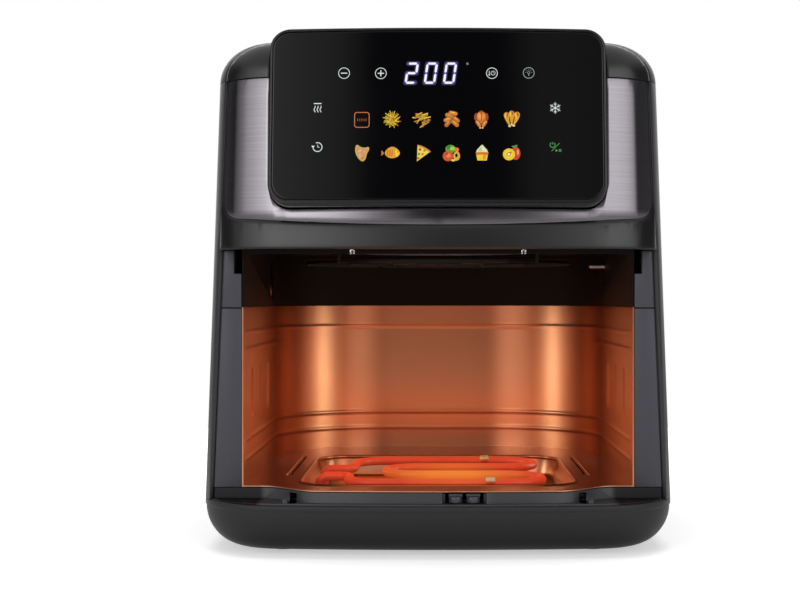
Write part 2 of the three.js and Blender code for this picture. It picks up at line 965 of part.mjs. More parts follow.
function frontFrame() {
  const region = block(-farReach, farReach, frontHalf, front.jambPlaneY - gap / 2, front.headerZ, farReach);
  const hollow = bodyOuter.subtract(bodySolid(frameWall));
  const recessCut = slabAlongY(fasciaOutline(gap), frontHalf, 0).subtract(bodySolid(fascia.recess));
  const bevelCut = slabAlongY(fasciaOutline(gap + fascia.groove), frontHalf, 0)
    .subtract(bodySolid(fascia.bevelDepth));
  const backW = -panel.depth - gap;
  const collar = panelCutter(panel.shadowGap + panel.collar, backW - panel.collar, 0)
    .subtract(panelCutter(panel.shadowGap, backW, overrun))
    .subtract(panelCutter(-panel.ledge, backW - panel.collar - overrun, overrun))
    .intersect(bodySolid(fascia.recess + gap));
  return mainBody(hollow
    .intersect(region)
    .subtract(recessCut)
    .subtract(bevelCut)
    .subtract(panelCutter(panel.shadowGap, backW, farReach))
    .add(collar.intersect(region)));
}
piece('front_frame', frontFrame(), looks.shell);

function fasciaPlate() {
  const skin = bodySolid(fascia.recess - gap - fascia.thickness).subtract(bodySolid(fascia.recess - gap));
  return skin
    .intersect(slabAlongY(fasciaOutline(0), frontHalf, 0))
    .subtract(panelCutter(panel.shadowGap, -farReach, farReach));
}
piece('fascia_plate', fasciaPlate(), looks.brushed);

// Control panel pieces, laid out in the leaning plane

const panelGroup = new THREE.Group();
panelGroup.position.set(0, panel.bottomY, panel.bottomZ);
panelGroup.rotation.x = quarter - panel.leanDegrees * degrees;
group.add(panelGroup);

const glassBackW = -panel.glassSunk - panel.glassThickness;
const cavityFloorW = -panel.depth + panel.backThickness;

function bezelSolid() {
  const outer = solid(panelSlab(panelOutline(0, 0, 0, panel.corner), -panel.depth, 0));
  const pocket = solid(panelSlab(
    panelOutline(panel.rimSide, panel.rimTop, panel.rimBottom, panel.corner - panel.rimSide),
    glassBackW - gap, overrun));
  const hollow = solid(panelSlab(
    panelOutline(
      panel.rimSide + panel.glassLedge, panel.rimTop + panel.glassLedge, panel.rimBottom + panel.glassLedge,
      panel.corner - panel.glassLedge),
    cavityFloorW, overrun));
  const wireWay = block(
    -digits.width / 2, digits.width / 2, panel.height / 4, panel.height / 2, -panel.depth - overrun, 0);
  let shape = outer.subtract(pocket).subtract(hollow).subtract(wireWay);
  for (const [x, y] of bossPlaces()) {
    const boss = rod(board.boss, cavityFloorW - gap, cavityFloorW + board.boss / 2, elementClip.sides);
    shape = shape.add(solid(boss.translate(x, y, 0)));
  }
  return shape;
}

function bossPlaces() {
  const x = panel.halfWidth - panel.rimSide - panel.glassLedge - 2 * board.margin;
  const y0 = panel.rimBottom + panel.glassLedge + 2 * board.margin;
  const y1 = panel.height - panel.rimTop - panel.glassLedge - 2 * board.margin;
  return [[-x, y0], [x, y0], [-x, y1], [x, y1]];
}

piece('panel_bezel', bezelSolid(), looks.bezel, panelGroup);

const glassOutline = panelOutline(
  panel.rimSide + gap, panel.rimTop + gap, panel.rimBottom + gap, panel.corner - panel.rimSide - gap);
piece('panel_glass', solid(panelSlab(glassOutline, glassBackW, -panel.glassSunk)), looks.glass, panelGroup);

const boardW = cavityFloorW + board.boss / 2 + gap;
function displayBoard() {
  const edge = panel.rimSide + panel.glassLedge + board.margin;
  const plate = solid(panelSlab(
    panelOutline(edge, edge, edge, board.margin), boardW, boardW + board.thickness));
  let shape = plate;
  const topW = boardW + board.thickness;
  for (const side of [-1, 1]) {
    for (const level of [1, 2]) {
      const x = (side * digits.width * (level + 1)) / 4;
      const y = (panel.height * level) / 4;
      const half = board.chipSize / 2;
      shape = shape.add(block(x - half, x + half, y - half, y + half, topW - gap, topW + board.chipHeight));
    }
  }
  return shape;
}
piece('display_board', displayBoard(), looks.board, panelGroup);

const moduleShape = block(
  digits.centreX - digits.width / 2, digits.centreX + digits.width / 2,
  digitsV - digits.height / 2, digitsV + digits.height / 2,
  boardW + board.thickness + gap, glassBackW - gap);
piece('display_module', moduleShape, looks.enamel, panelGroup);

// Underside of the head and its two clips

const lipRearY = front.jambPlaneY - gap;
function headerLipSolid() {
  const inside = bodySolid(frameWall + gap);
  const plate = block(
    -headerLip.halfWidth, headerLip.halfWidth, frontHalf, lipRearY,
    headerLip.z, headerLip.z + headerLip.thickness);
  const lip = block(
    -headerLip.halfWidth, headerLip.halfWidth, lipRearY - headerLip.lipDepth, lipRearY,
    headerLip.z - headerLip.lipDrop, headerLip.z + headerLip.thickness);
  return plate.intersect(inside).add(lip);
}
piece('header_lip', headerLipSolid(), looks.enamel);

function headerClipSolid() {
  const half = headerClip.width / 2;
  const topZ = headerLip.z - gap;
  const depth = headerClip.depth / 2;
  const bridge = block(-half, half, -depth, depth, topZ - headerClip.bridge, topZ);
  const left = block(-half, -half + headerClip.prong, -depth, depth, topZ - headerClip.height, topZ);
  const right = block(half - headerClip.prong, half, -depth, depth, topZ - headerClip.height, topZ);
  return joined(bridge, left, right);
}
piece('header_clip_left', headerClipSolid(), looks.chrome).position.set(-headerClip.x, headerClip.y, 0);
piece('header_clip_right', headerClipSolid(), looks.chrome).position.set(headerClip.x, headerClip.y, 0);

// Jambs beside the drawer mouth

const linerOuterX = cavity.halfWidth + cavity.sheet;
const jambInnerX = linerOuterX + gap;
const linerBottomZ = cavity.floorZ - cavity.sheet;

function jamb(side, z0, z1) {
  const x0 = side > 0 ? jambInnerX : -farReach;
  const x1 = side > 0 ? farReach : -jambInnerX;
  const post = block(x0, x1, front.jambPlaneY, front.jambPlaneY + front.jambDepth, z0, z1);
  return post.intersect(insideShell);
}

function upperJamb(side) {
  const topZ = front.headerZ - gap;
  const post = jamb(side, front.jambSplitZ + gap, topZ);
  const edge = jambInnerX + front.notchWidth;
  const x0 = side > 0 ? 0 : -edge;
  const x1 = side > 0 ? edge : 0;
  const notch = block(x0, x1, frontHalf, 0, topZ - front.notchHeight, topZ + overrun);
  return post.subtract(notch);
}

for (const [name, side] of [['left', -1], ['right', 1]]) {
  piece(`jamb_lower_${name}`, jamb(side, linerBottomZ, front.jambSplitZ - gap), looks.jamb);
  piece(`jamb_upper_${name}`, upperJamb(side), looks.jamb);
}

// Sill frame: ledge, raised lip, corner blocks, posts and slots

const latchReach = 2 * latch.rollerRadius + latch.rollerGap / 2 + latch.travel;
const latchSpan = latchReach + latch.wall + 2 * gap;
function sillFrame() {
  const ledgeZ0 = body.seamZ + gap;
  const plate = slab(outline(body.wall + seam), ledgeZ0, sill.ledgeZ);
  const frontPlate = slab(outline(sill.ledgeInset), ledgeZ0, sill.ledgeZ)
    .intersect(block(-farReach, farReach, frontHalf, front.jambPlaneY - gap, 0, farReach));
  const opening = block(
    -sill.swingStart, sill.swingStart, recess.frontY - cavity.sheet - gap, sill.openRearY, 0, farReach);
  const face = sillLine(sill.swingStart, 0);
  const back = sillLine(sill.swingStart, sill.thickness).reverse();
  const lip = slab([...face, ...back], sill.ledgeZ - gap, sill.topZ);
  let shape = plate.subtract(opening).add(frontPlate).add(lip);
  for (const side of [-1, 1]) {
    const inner = side * (sill.swingStart - sill.chamferRun);
    const blockPoints = [
      new THREE.Vector2(inner, sill.ledgeZ - gap),
      new THREE.Vector2(side * farReach, sill.ledgeZ - gap),
      new THREE.Vector2(side * farReach, sill.topZ),
      new THREE.Vector2(side * sill.swingStart, sill.topZ),
    ];
    const corner = slabAlongY(blockPoints, front.jambPlaneY, front.jambPlaneY + sill.blockDepth);
    shape = shape.add(corner.intersect(insideShell));
    const half = sill.postSize / 2;
    const x = side * postX;
    shape = shape.add(block(
      x - half, x + half, sill.postY - half, sill.postY + half,
      sill.ledgeZ - gap, sill.ledgeZ + sill.postHeight));
    const slotOuter = x - side * (half + gap);
    const slotInner = slotOuter - side * sill.slotWidth;
    shape = shape.subtract(block(
      Math.min(slotOuter, slotInner), Math.max(slotOuter, slotInner),
      sill.postY - half, drawerSwitch.frontY - gap, 0, sill.slotTopZ));
  }
  const window = block(
    latch.x - latchSpan, latch.x + latchSpan, frontHalf, latch.housingRearY,
    sill.ledgeZ, sill.topZ + overrun);
  return shape.subtract(window);
}
piece('sill_frame', sillFrame(), looks.jamb);

// Drawer catch: two sprung jaws with rollers

function latchHousing() {
  const z0 = sill.ledgeZ + gap;
  const x0 = latch.x - latchSpan + gap;
  const x1 = latch.x + latchSpan - gap;
  const y0 = sillY(latch.x);
  const outer = block(x0, x1, y0, latch.housingRearY, z0, sill.topZ - gap);
  const room = block(
    x0 + latch.wall, x1 - latch.wall, frontHalf, latch.housingRearY - latch.wall,
    z0 + latch.wall, farReach);
  const mouthY = latch.rollerY + latch.rollerRadius + gap;
  const mouth = block(x0 + latch.wall, x1 - latch.wall, frontHalf, mouthY, 0, farReach);
  return outer.subtract(room).subtract(mouth);
}
piece('latch_housing', latchHousing(), looks.enamel);

const rollerBottomZ = sill.ledgeZ + latch.rollerLift;
const rollerTopZ = rollerBottomZ + latch.rollerHeight;

function latchJaw() {
  const plateZ = rollerTopZ + gap;
  const half = latch.rollerRadius;
  const armY = latch.rollerY + half + gap;
  const plate = block(
    -half, half, latch.rollerY - half, armY + gap, plateZ, plateZ + latch.plate);
  const arm = block(
    -latch.armWidth / 2, latch.armWidth / 2, armY,
    latch.rollerY + latch.armLength, plateZ + latch.plate - latch.armHeight, plateZ + latch.plate);
  const pin = rod(latch.pinRadius, sill.ledgeZ + gap, plateZ + gap, drawerSwitch.sides);
  return joined(plate, arm, solid(pin.translate(0, latch.rollerY, 0)));
}

for (const [name, side] of [['left', -1], ['right', 1]]) {
  const x = latch.x + side * (latch.rollerRadius + latch.rollerGap / 2);
  piece(`latch_jaw_${name}`, latchJaw(), looks.enamel).position.set(x, 0, 0);
  const roller = ringSolid(latch.pinRadius + gap, latch.rollerRadius, rollerBottomZ, rollerTopZ, latch.sides);
  piece(`latch_roller_${name}`, solid(roller), looks.nylon).position.set(x, latch.rollerY, 0);
}

// Switch that senses the drawer, behind the right slot

const switchX = postX - sill.postSize / 2 - gap - sill.slotWidth / 2;
const switchZ = sill.ledgeZ + gap + drawerSwitch.height / 2;

function switchBody() {
  const half = drawerSwitch.width / 2;
  const shape = block(
    switchX - half, switchX + half, drawerSwitch.frontY, drawerSwitch.frontY + drawerSwitch.depth,
    sill.ledgeZ + gap, sill.ledgeZ + gap + drawerSwitch.height);
  const bore = rod(drawerSwitch.plungerRadius + gap, -drawerSwitch.boreDepth, overrun, drawerSwitch.sides);
  bore.rotateX(quarter).translate(switchX, drawerSwitch.frontY, switchZ);
  return shape.subtract(solid(bore));
}
piece('drawer_switch', switchBody(), looks.enamel);

const plunger = rod(
  drawerSwitch.plungerRadius, drawerSwitch.plungerOut - drawerSwitch.plungerLength,
  drawerSwitch.plungerOut, drawerSwitch.sides);
plunger.rotateX(quarter);
piece('switch_plunger', solid(plunger), looks.nylon).position.set(switchX, drawerSwitch.frontY, switchZ);

// Cavity liner: ribbed walls, embosses and a floor with the element's recess

function linerWall() {
  const levels = [[linerBottomZ + gap, 0, 0]];
  for (const z of sideRibZ) {
    const rear = allRoundRibZ.includes(z) ? cavity.ribRise : 0;
    levels.push([z - cavity.ribHalfHeight, 0, 0]);
    levels.push([z, cavity.ribRise, rear]);
    levels.push([z + cavity.ribHalfHeight, 0, 0]);
  }
  levels.push([cavity.topZ, 0, 0]);
  return solid(loft(levels.map(([z, side, rear]) => cavityWallRing(z, side, rear))));
}

function embossSolid(side, y) {
  const half = emboss.width / 2;
  const ends = [
    ...arcPoints(0, emboss.topZ - half, half, 0, 2 * quarter, emboss.sides / 2),
    ...arcPoints(0, emboss.bottomZ + half, half, 2 * quarter, wholeTurn, emboss.sides / 2),
  ];
  const x0 = side * (cavity.halfWidth + cavity.sheet / 2);
  const x1 = side * (cavity.halfWidth - emboss.rise);
  const wide = ends.map((point) => new THREE.Vector3(x0, y + point.x, point.y));
  const middleZ = (emboss.topZ + emboss.bottomZ) / 2;
  const share = 1 - emboss.rise / half;
  const near = ends.map((point) => new THREE.Vector3(
    x1, y + point.x * share, middleZ + (point.y - middleZ) * (1 - (emboss.rise / (emboss.topZ - middleZ)))));
  return solid(loft([wide, near]));
}

function linerFloor() {
  const edge = cavityPath(cavity.sheet);
  const rearPart = edge.slice(1, -1);
  const frontPart = sillLine(linerOuterX, cavity.frontInset);
  const hole = roundedRectangle(
    -recess.halfWidth, recess.halfWidth, recess.frontY, recess.rearY, recess.corner, recess.cornerSteps);
  let shape = slab([...frontPart, ...rearPart], linerBottomZ, cavity.floorZ, [hole]);
  for (const side of [-1, 1]) {
    const x = side * floorSlotX;
    const half = floorSlot.width / 2;
    const railX = x + side * half;
    shape = shape.add(block(
      Math.min(railX, railX + side * floorSlot.railWidth),
      Math.max(railX, railX + side * floorSlot.railWidth),
      floorSlot.frontY, floorSlot.rearY, linerBottomZ, cavity.floorZ + floorSlot.railRise));
    shape = shape.subtract(block(
      x - half, x + half, floorSlot.frontY, floorSlot.frontY + floorSlot.holeLength, 0, farReach));
  }
  return shape;
}

function cavityLiner() {
  let shape = linerFloor().add(linerWall());
  for (const side of [-1, 1]) {
    for (let i = 0; i < emboss.count; i += 1) {
      const y = front.jambPlaneY + emboss.firstBehindJamb + emboss.pitch * i;
      shape = shape.add(embossSolid(side, y));
    }
  }
  return shape;
}
piece('cavity_liner', cavityLiner(), looks.liner);

function recessRing(grow, z) {
  const points = roundedRectangle(
    -recess.halfWidth - grow, recess.halfWidth + grow, recess.frontY - grow, recess.rearY + grow,
    recess.corner + grow, recess.cornerSteps);
  return points.map((point) => new THREE.Vector3(point.x, point.y, z));
}

const panTopZ = linerBottomZ - gap;
function elementPan() {
  const rings = [
    recessRing(-recess.draft, recess.floorZ + cavity.sheet),
    recessRing(0, panTopZ),
    recessRing(recess.flange, panTopZ),
    recessRing(recess.flange, panTopZ - cavity.sheet),
    recessRing(cavity.sheet, panTopZ - cavity.sheet),
    recessRing(-recess.draft + cavity.sheet, recess.floorZ),
  ];
  let shape = solid(loft(rings));
  for (const y of element.dropY) {
    const hole = rod(element.tubeRadius + 2 * gap, 0, recess.floorZ + overrun, elementClip.sides);
    shape = shape.subtract(solid(hole.translate(elementX.drop, y, 0)));
  }
  return shape;
}
piece('element_pan', elementPan(), looks.liner);

// Lower element: one tube in four runs, whose ends turn down through the pan into a terminal

const terminalTopZ = recess.floorZ - gap;
function elementDrop(y) {
  const bend = element.dropBend;
  const points = [new THREE.Vector3(elementX.drop, y, terminalTopZ - terminal.length / 2)];
  for (let i = 0; i <= element.bendSteps; i += 1) {
    const turn = (quarter * i) / element.bendSteps;
    points.push(new THREE.Vector3(
      elementX.drop + bend - bend * Math.cos(turn), y, element.runZ - bend + bend * Math.sin(turn)));
  }
  return points;
}

function elementPath() {
  const [y1, y2, y3, y4] = element.runY;
  const [frontY, rearY] = element.dropY;
  const levelX = elementX.drop + element.dropBend;
  const corners = [
    [levelX, frontY],
    [elementX.outerLeft, frontY],
    [elementX.outerLeft, y1],
    [elementX.right, y1],
    [elementX.right, y2],
    [elementX.innerLeft, y2],
    [elementX.innerLeft, y3],
    [elementX.right, y3],
    [elementX.right, y4],
    [elementX.outerLeft, y4],
    [elementX.outerLeft, rearY],
    [levelX, rearY],
  ].map(([x, y]) => new THREE.Vector2(x, y));
  const level = filletPath(corners, element.bendRadius, element.bendSteps).slice(1, -1);
  return [
    ...elementDrop(frontY),
    ...level.map((point) => new THREE.Vector3(point.x, point.y, element.runZ)),
    ...elementDrop(rearY).reverse(),
  ];
}
const toTheLeft = () => new THREE.Vector3(-1, 0, 0);
const elementTube = tubeAlong(elementPath(), element.tubeRadius, element.sides, toTheLeft);
piece('bottom_element', solid(elementTube), looks.heated);

function elementClipSolid() {
  const inner = element.tubeRadius + gap;
  const outer = inner + elementClip.band;
  const half = elementClip.width / 2;
  const band = ringSolid(inner, outer, -half, half, elementClip.sides).rotateY(quarter);
  const leg = block(
    -half, half, -elementClip.legThickness / 2, elementClip.legThickness / 2,
    recess.floorZ + cavity.sheet + gap - element.runZ, -inner - gap);
  return solid(band).add(leg);
}
const clipRows = [['front', element.runY[0]], ['rear', element.runY[element.runY.length - 1]]];
for (const [name, y] of clipRows) {
  const clip = piece(`element_clip_${name}`, elementClipSolid(), looks.brass);
  clip.position.set(elementX.clip, y, element.runZ);
}

function terminalBlock() {
  const half = element.tubeRadius + terminal.sideMargin;
  let shape = block(
    elementX.drop - half, elementX.drop + half, element.dropY[0] - half, element.dropY[1] + half,
    terminalTopZ - terminal.length, terminalTopZ);
  for (const y of element.dropY) {
    const bore = rod(element.tubeRadius + gap, 0, terminal.length, elementClip.sides);
    bore.translate(elementX.drop, y, terminalTopZ - terminal.length / 2 - gap);
    shape = shape.subtract(solid(bore));
  }
  return shape;
}
piece('element_terminal', terminalBlock(), looks.ceramic);

// Upper half of the cavity, with the lamp and the probe in its sides

const chamberBottomZ = cavity.topZ + gap;
const ceilingTopZ = cavity.ceilingZ + cavity.sheet;

function alongX(geometry, x, y, z) {
  geometry.rotateY(quarter);
  return geometry.translate(x, y, z);
}

function upperChamber() {
  const wallRings = [chamberBottomZ, cavity.ceilingZ + gap].map((z) => cavityWallRing(z, 0, 0));
  const mouth = arcPoints(0, fan.y, fan.shroudRadius - fan.sheet, 0, wholeTurn, fan.sides).slice(0, -1);
  const ceiling = slab(cavityPath(cavity.sheet), cavity.ceilingZ, ceilingTopZ, [mouth]);
  const lampHole = alongX(rod(lamp.holeRadius, -farReach, 0, lamp.sides), 0, lamp.y, lamp.z);
  const probeHole = alongX(rod(probe.radius + gap, 0, farReach, probe.sides), 0, probe.y, probe.z);
  return solid(loft(wallRings)).add(ceiling).subtract(solid(lampHole)).subtract(solid(probeHole));
}
piece('upper_chamber', upperChamber(), looks.enamel);

const lensMiddleShares = { radius: 0.5, rise: 0.75 };
function lampLens() {
  const lip = gap + lamp.lensThickness;
  const profile = [
    [0, -cavity.sheet - lamp.lensDome],
    [lamp.holeRadius * lensMiddleShares.radius, -cavity.sheet - lamp.lensDome * lensMiddleShares.rise],
    [lamp.holeRadius - gap, -cavity.sheet],
    [lamp.holeRadius - gap, gap],
    [lamp.flangeRadius, gap],
    [lamp.flangeRadius, lip],
    [0, lip],
  ];
  return turned(profile, lamp.sides).rotateY(-quarter).translate(-linerOuterX, lamp.y, lamp.z);
}
piece('lamp_lens', solid(lampLens()), looks.lens);

const socketX = -linerOuterX - lamp.lensThickness - 2 * gap;
const socketShape = rod(lamp.socketRadius, 0, lamp.socketLength, lamp.sides);
socketShape.rotateY(-quarter).translate(socketX, lamp.y, lamp.z);
piece('lamp_socket', solid(socketShape), looks.ceramic);

const probeProfile = [
  [0, -probe.inside],
  [probe.radius, -probe.inside + probe.radius],
  [probe.radius, gap],
  [probe.flangeRadius, gap],
  [probe.flangeRadius, gap + probe.flangeThickness],
  [probe.radius, gap + probe.flangeThickness],
  [probe.radius, probe.outside],
  [0, probe.outside],
];
const probeShape = alongX(turned(probeProfile, probe.sides), linerOuterX, probe.y, probe.z);
piece('temperature_probe', solid(probeShape), looks.zinc);

// Fan shroud on the ceiling, and the guard under it

function leadPlaces() {
  return [-1, 1].map((side) => {
    const turn = side * pipe.leadDegrees * degrees;
    return [pipe.outerLoop * Math.cos(turn), fan.y + pipe.outerLoop * Math.sin(turn)];
  });
}

function fanShroud() {
  const z0 = ceilingTopZ + gap;
  const inner = fan.shroudRadius - fan.sheet;
  const profile = [
    [inner, z0],
    [fan.shroudRadius + fan.shroudFlange, z0],
    [fan.shroudRadius + fan.shroudFlange, z0 + fan.sheet],
    [fan.shroudRadius, z0 + fan.sheet],
    [fan.shroudRadius, fan.shroudTopZ],
    [fan.shaftHole, fan.shroudTopZ],
    [fan.shaftHole, fan.shroudTopZ - fan.sheet],
    [inner, fan.shroudTopZ - fan.sheet],
    [inner, z0],
  ];
  let shape = solid(turned(profile, fan.sides).translate(0, fan.y, 0));
  for (const [x, y] of leadPlaces()) {
    const hole = rod(element.tubeRadius + gap, z0 + overrun, farReach, elementClip.sides);
    shape = shape.subtract(solid(hole.translate(x, y, 0)));
  }
  return shape;
}
piece('fan_shroud', fanShroud(), looks.zinc);

function elementGuard() {
  const topZ = guard.z + guard.wire;
  let shape = null;
  for (const share of guard.ringShares) {
    const radius = guardRadius * share;
    const half = guard.wire / 2;
    const ring = solid(ringSolid(radius - half, radius + half, guard.z, topZ, guard.sides));
    shape = shape ? shape.add(ring) : ring;
  }
  for (let i = 0; i < guard.spokes; i += 1) {
    const spoke = new THREE.BoxGeometry(2 * guardRadius, guard.wire, guard.wire);
    spoke.translate(0, 0, guard.z + guard.wire / 2);
    spoke.rotateZ((2 * quarter * i) / guard.spokes);
    shape = shape.add(solid(spoke));
  }
  for (let i = 0; i < guard.legs; i += 1) {
    const turn = (wholeTurn * (i + 0.5)) / guard.legs;
    const half = guard.wire / 2;
    const leg = block(-half, half, -half, half, guard.z, cavity.ceilingZ - gap);
    const [x, y] = [guardRadius * Math.cos(turn), guardRadius * Math.sin(turn)];
    shape = shape.add(leg.translate([x, y, 0]));
  }
  return shape.translate([0, fan.y, 0]);
}
piece('element_guard', elementGuard(), looks.sheath);

// Upper element: an outer and an inner loop joined by a hairpin, with both leads going up

function pipePath() {
  const path = [];
  const at = (radius, angleDegrees, z) => new THREE.Vector3(
    radius * Math.cos(angleDegrees * degrees), fan.y + radius * Math.sin(angleDegrees * degrees), z);
  const turnDegrees = (pipe.leadTurn / pipe.outerLoop) / degrees;
  const leadShares = [0, 0.3, 0.7, 1];
  const lead = (startDegrees, direction) => leadShares.map((share) => {
    const swing = quarter * share;
    const along = (1 - Math.cos(swing)) * turnDegrees;
    const z = pipe.z + pipe.leadTurn * (1 - Math.sin(swing));
    return at(pipe.outerLoop, startDegrees + direction * along, z);
  });
  const first = pipe.leadDegrees;
  const last = pipe.hairpinDegrees;
  path.push(at(pipe.outerLoop, first, pipe.leadTopZ));
  path.push(...lead(first, 1));
  for (let a = first + turnDegrees + pipe.stepDegrees; a < last; a += pipe.stepDegrees) {
    path.push(at(pipe.outerLoop, a, pipe.z));
  }
  const middle = (pipe.outerLoop + pipe.innerLoop) / 2;
  const half = (pipe.outerLoop - pipe.innerLoop) / 2;
  const hairpinSteps = 5;
  for (let i = 0; i <= hairpinSteps; i += 1) {
    const turn = (2 * quarter * i) / hairpinSteps;
    const ahead = ((half * Math.sin(turn)) / middle) / degrees;
    path.push(at(middle + half * Math.cos(turn), last + ahead, pipe.z));
  }
  const innerEnd = -first + turnDegrees;
  for (let a = last - pipe.stepDegrees; a > innerEnd + pipe.stepDegrees / 2; a -= pipe.stepDegrees) {
    path.push(at(pipe.innerLoop, a, pipe.z));
  }
  path.push(at(pipe.innerLoop, innerEnd, pipe.z));
  const outShares = [0.15, 0.5, 0.85];
  for (const share of outShares) {
    const radius = pipe.innerLoop + (pipe.outerLoop - pipe.innerLoop) * share;
    path.push(at(radius, innerEnd - turnDegrees * share, pipe.z));
  }
  path.push(at(pipe.outerLoop, -first, pipe.z + pipe.leadTurn));
  path.push(at(pipe.outerLoop, -first, pipe.leadTopZ));
  return path;
}
piece('top_element', solid(tubeAlong(pipePath(), element.tubeRadius, element.sides)), looks.sheath);

// Hot-air impeller, shaft, motor and cooling fan on one axis

function onAxis(geometry) {
  return solid(geometry.translate(0, fan.y, 0));
}

function impeller() {
  const discZ0 = fan.discZ;
  const hubBottom = discZ0 + fan.discThickness - fan.hubHeight;
  const discZ1 = discZ0 + fan.discThickness;
  const bore = fan.shaftRadius + gap;
  const disc = ringSolid(bore, fan.discRadius, discZ0, discZ1, fan.sides);
  const hub = ringSolid(bore, fan.hubRadius, hubBottom, discZ1, lamp.sides);
  let shape = solid(disc).add(solid(hub));
  for (let i = 0; i < fan.blades; i += 1) {
    const blade = new THREE.BoxGeometry(fan.bladeLength, fan.bladeThickness, fan.bladeHeight);
    blade.translate(
      fan.discRadius - fan.bladeLength / 2 - fan.bladeThickness, 0, discZ0 - fan.bladeHeight / 2 + gap);
    blade.rotateZ((wholeTurn * i) / fan.blades);
    shape = shape.add(solid(blade));
  }
  return shape.translate([0, fan.y, 0]);
}
piece('fan_impeller', impeller(), looks.zinc);
const shaftShape = onAxis(rod(fan.shaftRadius, fan.shaftBottomZ, fan.shaftTopZ, lamp.sides));
piece('motor_shaft', shaftShape, looks.chrome);

function heatShield() {
  const plate = slab(
    roundedRectangle(
      -shield.halfWidth, shield.halfWidth, shield.frontY, shield.rearY, recess.corner, recess.cornerSteps),
    shield.z, shield.z + shield.thickness);
  let shape = plate.subtract(onAxis(rod(fan.shaftHole, 0, farReach, lamp.sides)));
  for (const [x, y] of leadPlaces()) {
    const hole = rod(element.tubeRadius + gap, 0, farReach, elementClip.sides);
    shape = shape.subtract(solid(hole.translate(x, y, 0)));
  }
  const legX = shield.halfWidth - shield.legInset;
  for (const x of [-legX, legX]) {
    for (const y of [shield.legFrontY, shield.legRearY]) {
      const leg = rod(shield.legRadius, ceilingTopZ + gap, shield.z + gap, elementClip.sides);
      shape = shape.add(solid(leg.translate(x, y, 0)));
    }
  }
  return shape;
}
piece('heat_shield', heatShield(), looks.zinc);

// A strap across the axis with a cup that holds a bearing, and legs at its ends
function motorBracket(z, legFrom, legTo, cupFrom, cupTo) {
  const half = motor.strapHalfLength;
  const plate = block(-half, half, -motor.strapWidth / 2, motor.strapWidth / 2, z, z + motor.strap);
  const cupOuter = motor.bearingOuter + gap + motor.strap;
  const cup = solid(rod(cupOuter, cupFrom, cupTo, lamp.sides));
  const seat = solid(rod(motor.bearingOuter + gap, cupFrom - overrun, cupTo + overrun, lamp.sides));
  let shape = plate.add(cup).subtract(seat);
  for (const side of [-1, 1]) {
    const x0 = side > 0 ? half - motor.strap : -half;
    shape = shape.add(block(
      x0, x0 + motor.strap, -motor.strapWidth / 2, motor.strapWidth / 2, legFrom, legTo));
  }
  return shape.translate([0, fan.y, 0]);
}

const stackTopZ = motor.stackZ + motor.stackHeight;
const lowerCupTop = motor.lowerBracketZ + motor.bearingHeight;
const lowerStrapTop = motor.lowerBracketZ + motor.strap;
const upperStrapTop = motor.upperBracketZ + motor.strap;
const upperCupBottom = upperStrapTop - motor.bearingHeight;
const lowerBracket = motorBracket(
  motor.lowerBracketZ, motor.footZ, lowerStrapTop, motor.lowerBracketZ, lowerCupTop);
piece('motor_bracket_lower', lowerBracket, looks.zinc);
const upperBracket = motorBracket(
  motor.upperBracketZ, stackTopZ + gap, upperStrapTop, upperCupBottom, upperStrapTop);
piece('motor_bracket_upper', upperBracket, looks.zinc);

function bearing(z0) {
  const z1 = z0 + motor.bearingHeight;
  return onAxis(ringSolid(fan.shaftRadius + gap, motor.bearingOuter, z0, z1, lamp.sides));
}
piece('bearing_lower', bearing(motor.lowerBracketZ), looks.brass);
piece('bearing_upper', bearing(upperCupBottom), looks.brass);

function statorStack() {
  const outlinePoints = roundedRectangle(
    -motor.stackHalfWidth, motor.stackHalfWidth, -motor.stackFront, motor.stackRear, motor.postRadius, 2);
  const bore = solid(rod(motor.rotorRadius + motor.rotorGap, 0, farReach, lamp.sides));
  let shape = slab(outlinePoints, motor.stackZ, stackTopZ).subtract(bore);
  for (const side of [-1, 1]) {
    const x0 = Math.min(side * motor.windowInner, side * motor.windowOuter);
    const x1 = Math.max(side * motor.windowInner, side * motor.windowOuter);
    shape = shape.subtract(block(x0, x1, motor.windowFront, motor.windowRear, 0, farReach));
  }
  for (const side of [-1, 1]) {
    const x = side * (motor.stackHalfWidth - 2 * motor.postRadius);
    const post = rod(
      motor.postRadius, motor.lowerBracketZ + motor.strap + gap, motor.stackZ + gap, elementClip.sides);
    shape = shape.add(solid(post.translate(x, 0, 0)));
  }
  return shape.translate([0, fan.y, 0]);
}
piece('motor_stator', statorStack(), looks.sheath);

function motorCoil() {
  const outerX = motor.windowOuter - gap;
  const innerX = motor.windowInner + gap;
  const outer = block(
    -outerX, outerX, motor.windowFront + gap, motor.windowRear - gap,
    motor.stackZ - motor.coilOverhang, stackTopZ + motor.coilOverhang);
  const limb = block(
    -innerX, innerX, 0, motor.windowRear + overrun, motor.stackZ - gap, stackTopZ + gap);
  return outer.subtract(limb).translate([0, fan.y, 0]);
}
piece('motor_coil', motorCoil(), looks.copper);

piece('motor_rotor', onAxis(ringSolid(
  fan.shaftRadius + gap, motor.rotorRadius, motor.stackZ, stackTopZ, lamp.sides)), looks.sheath);

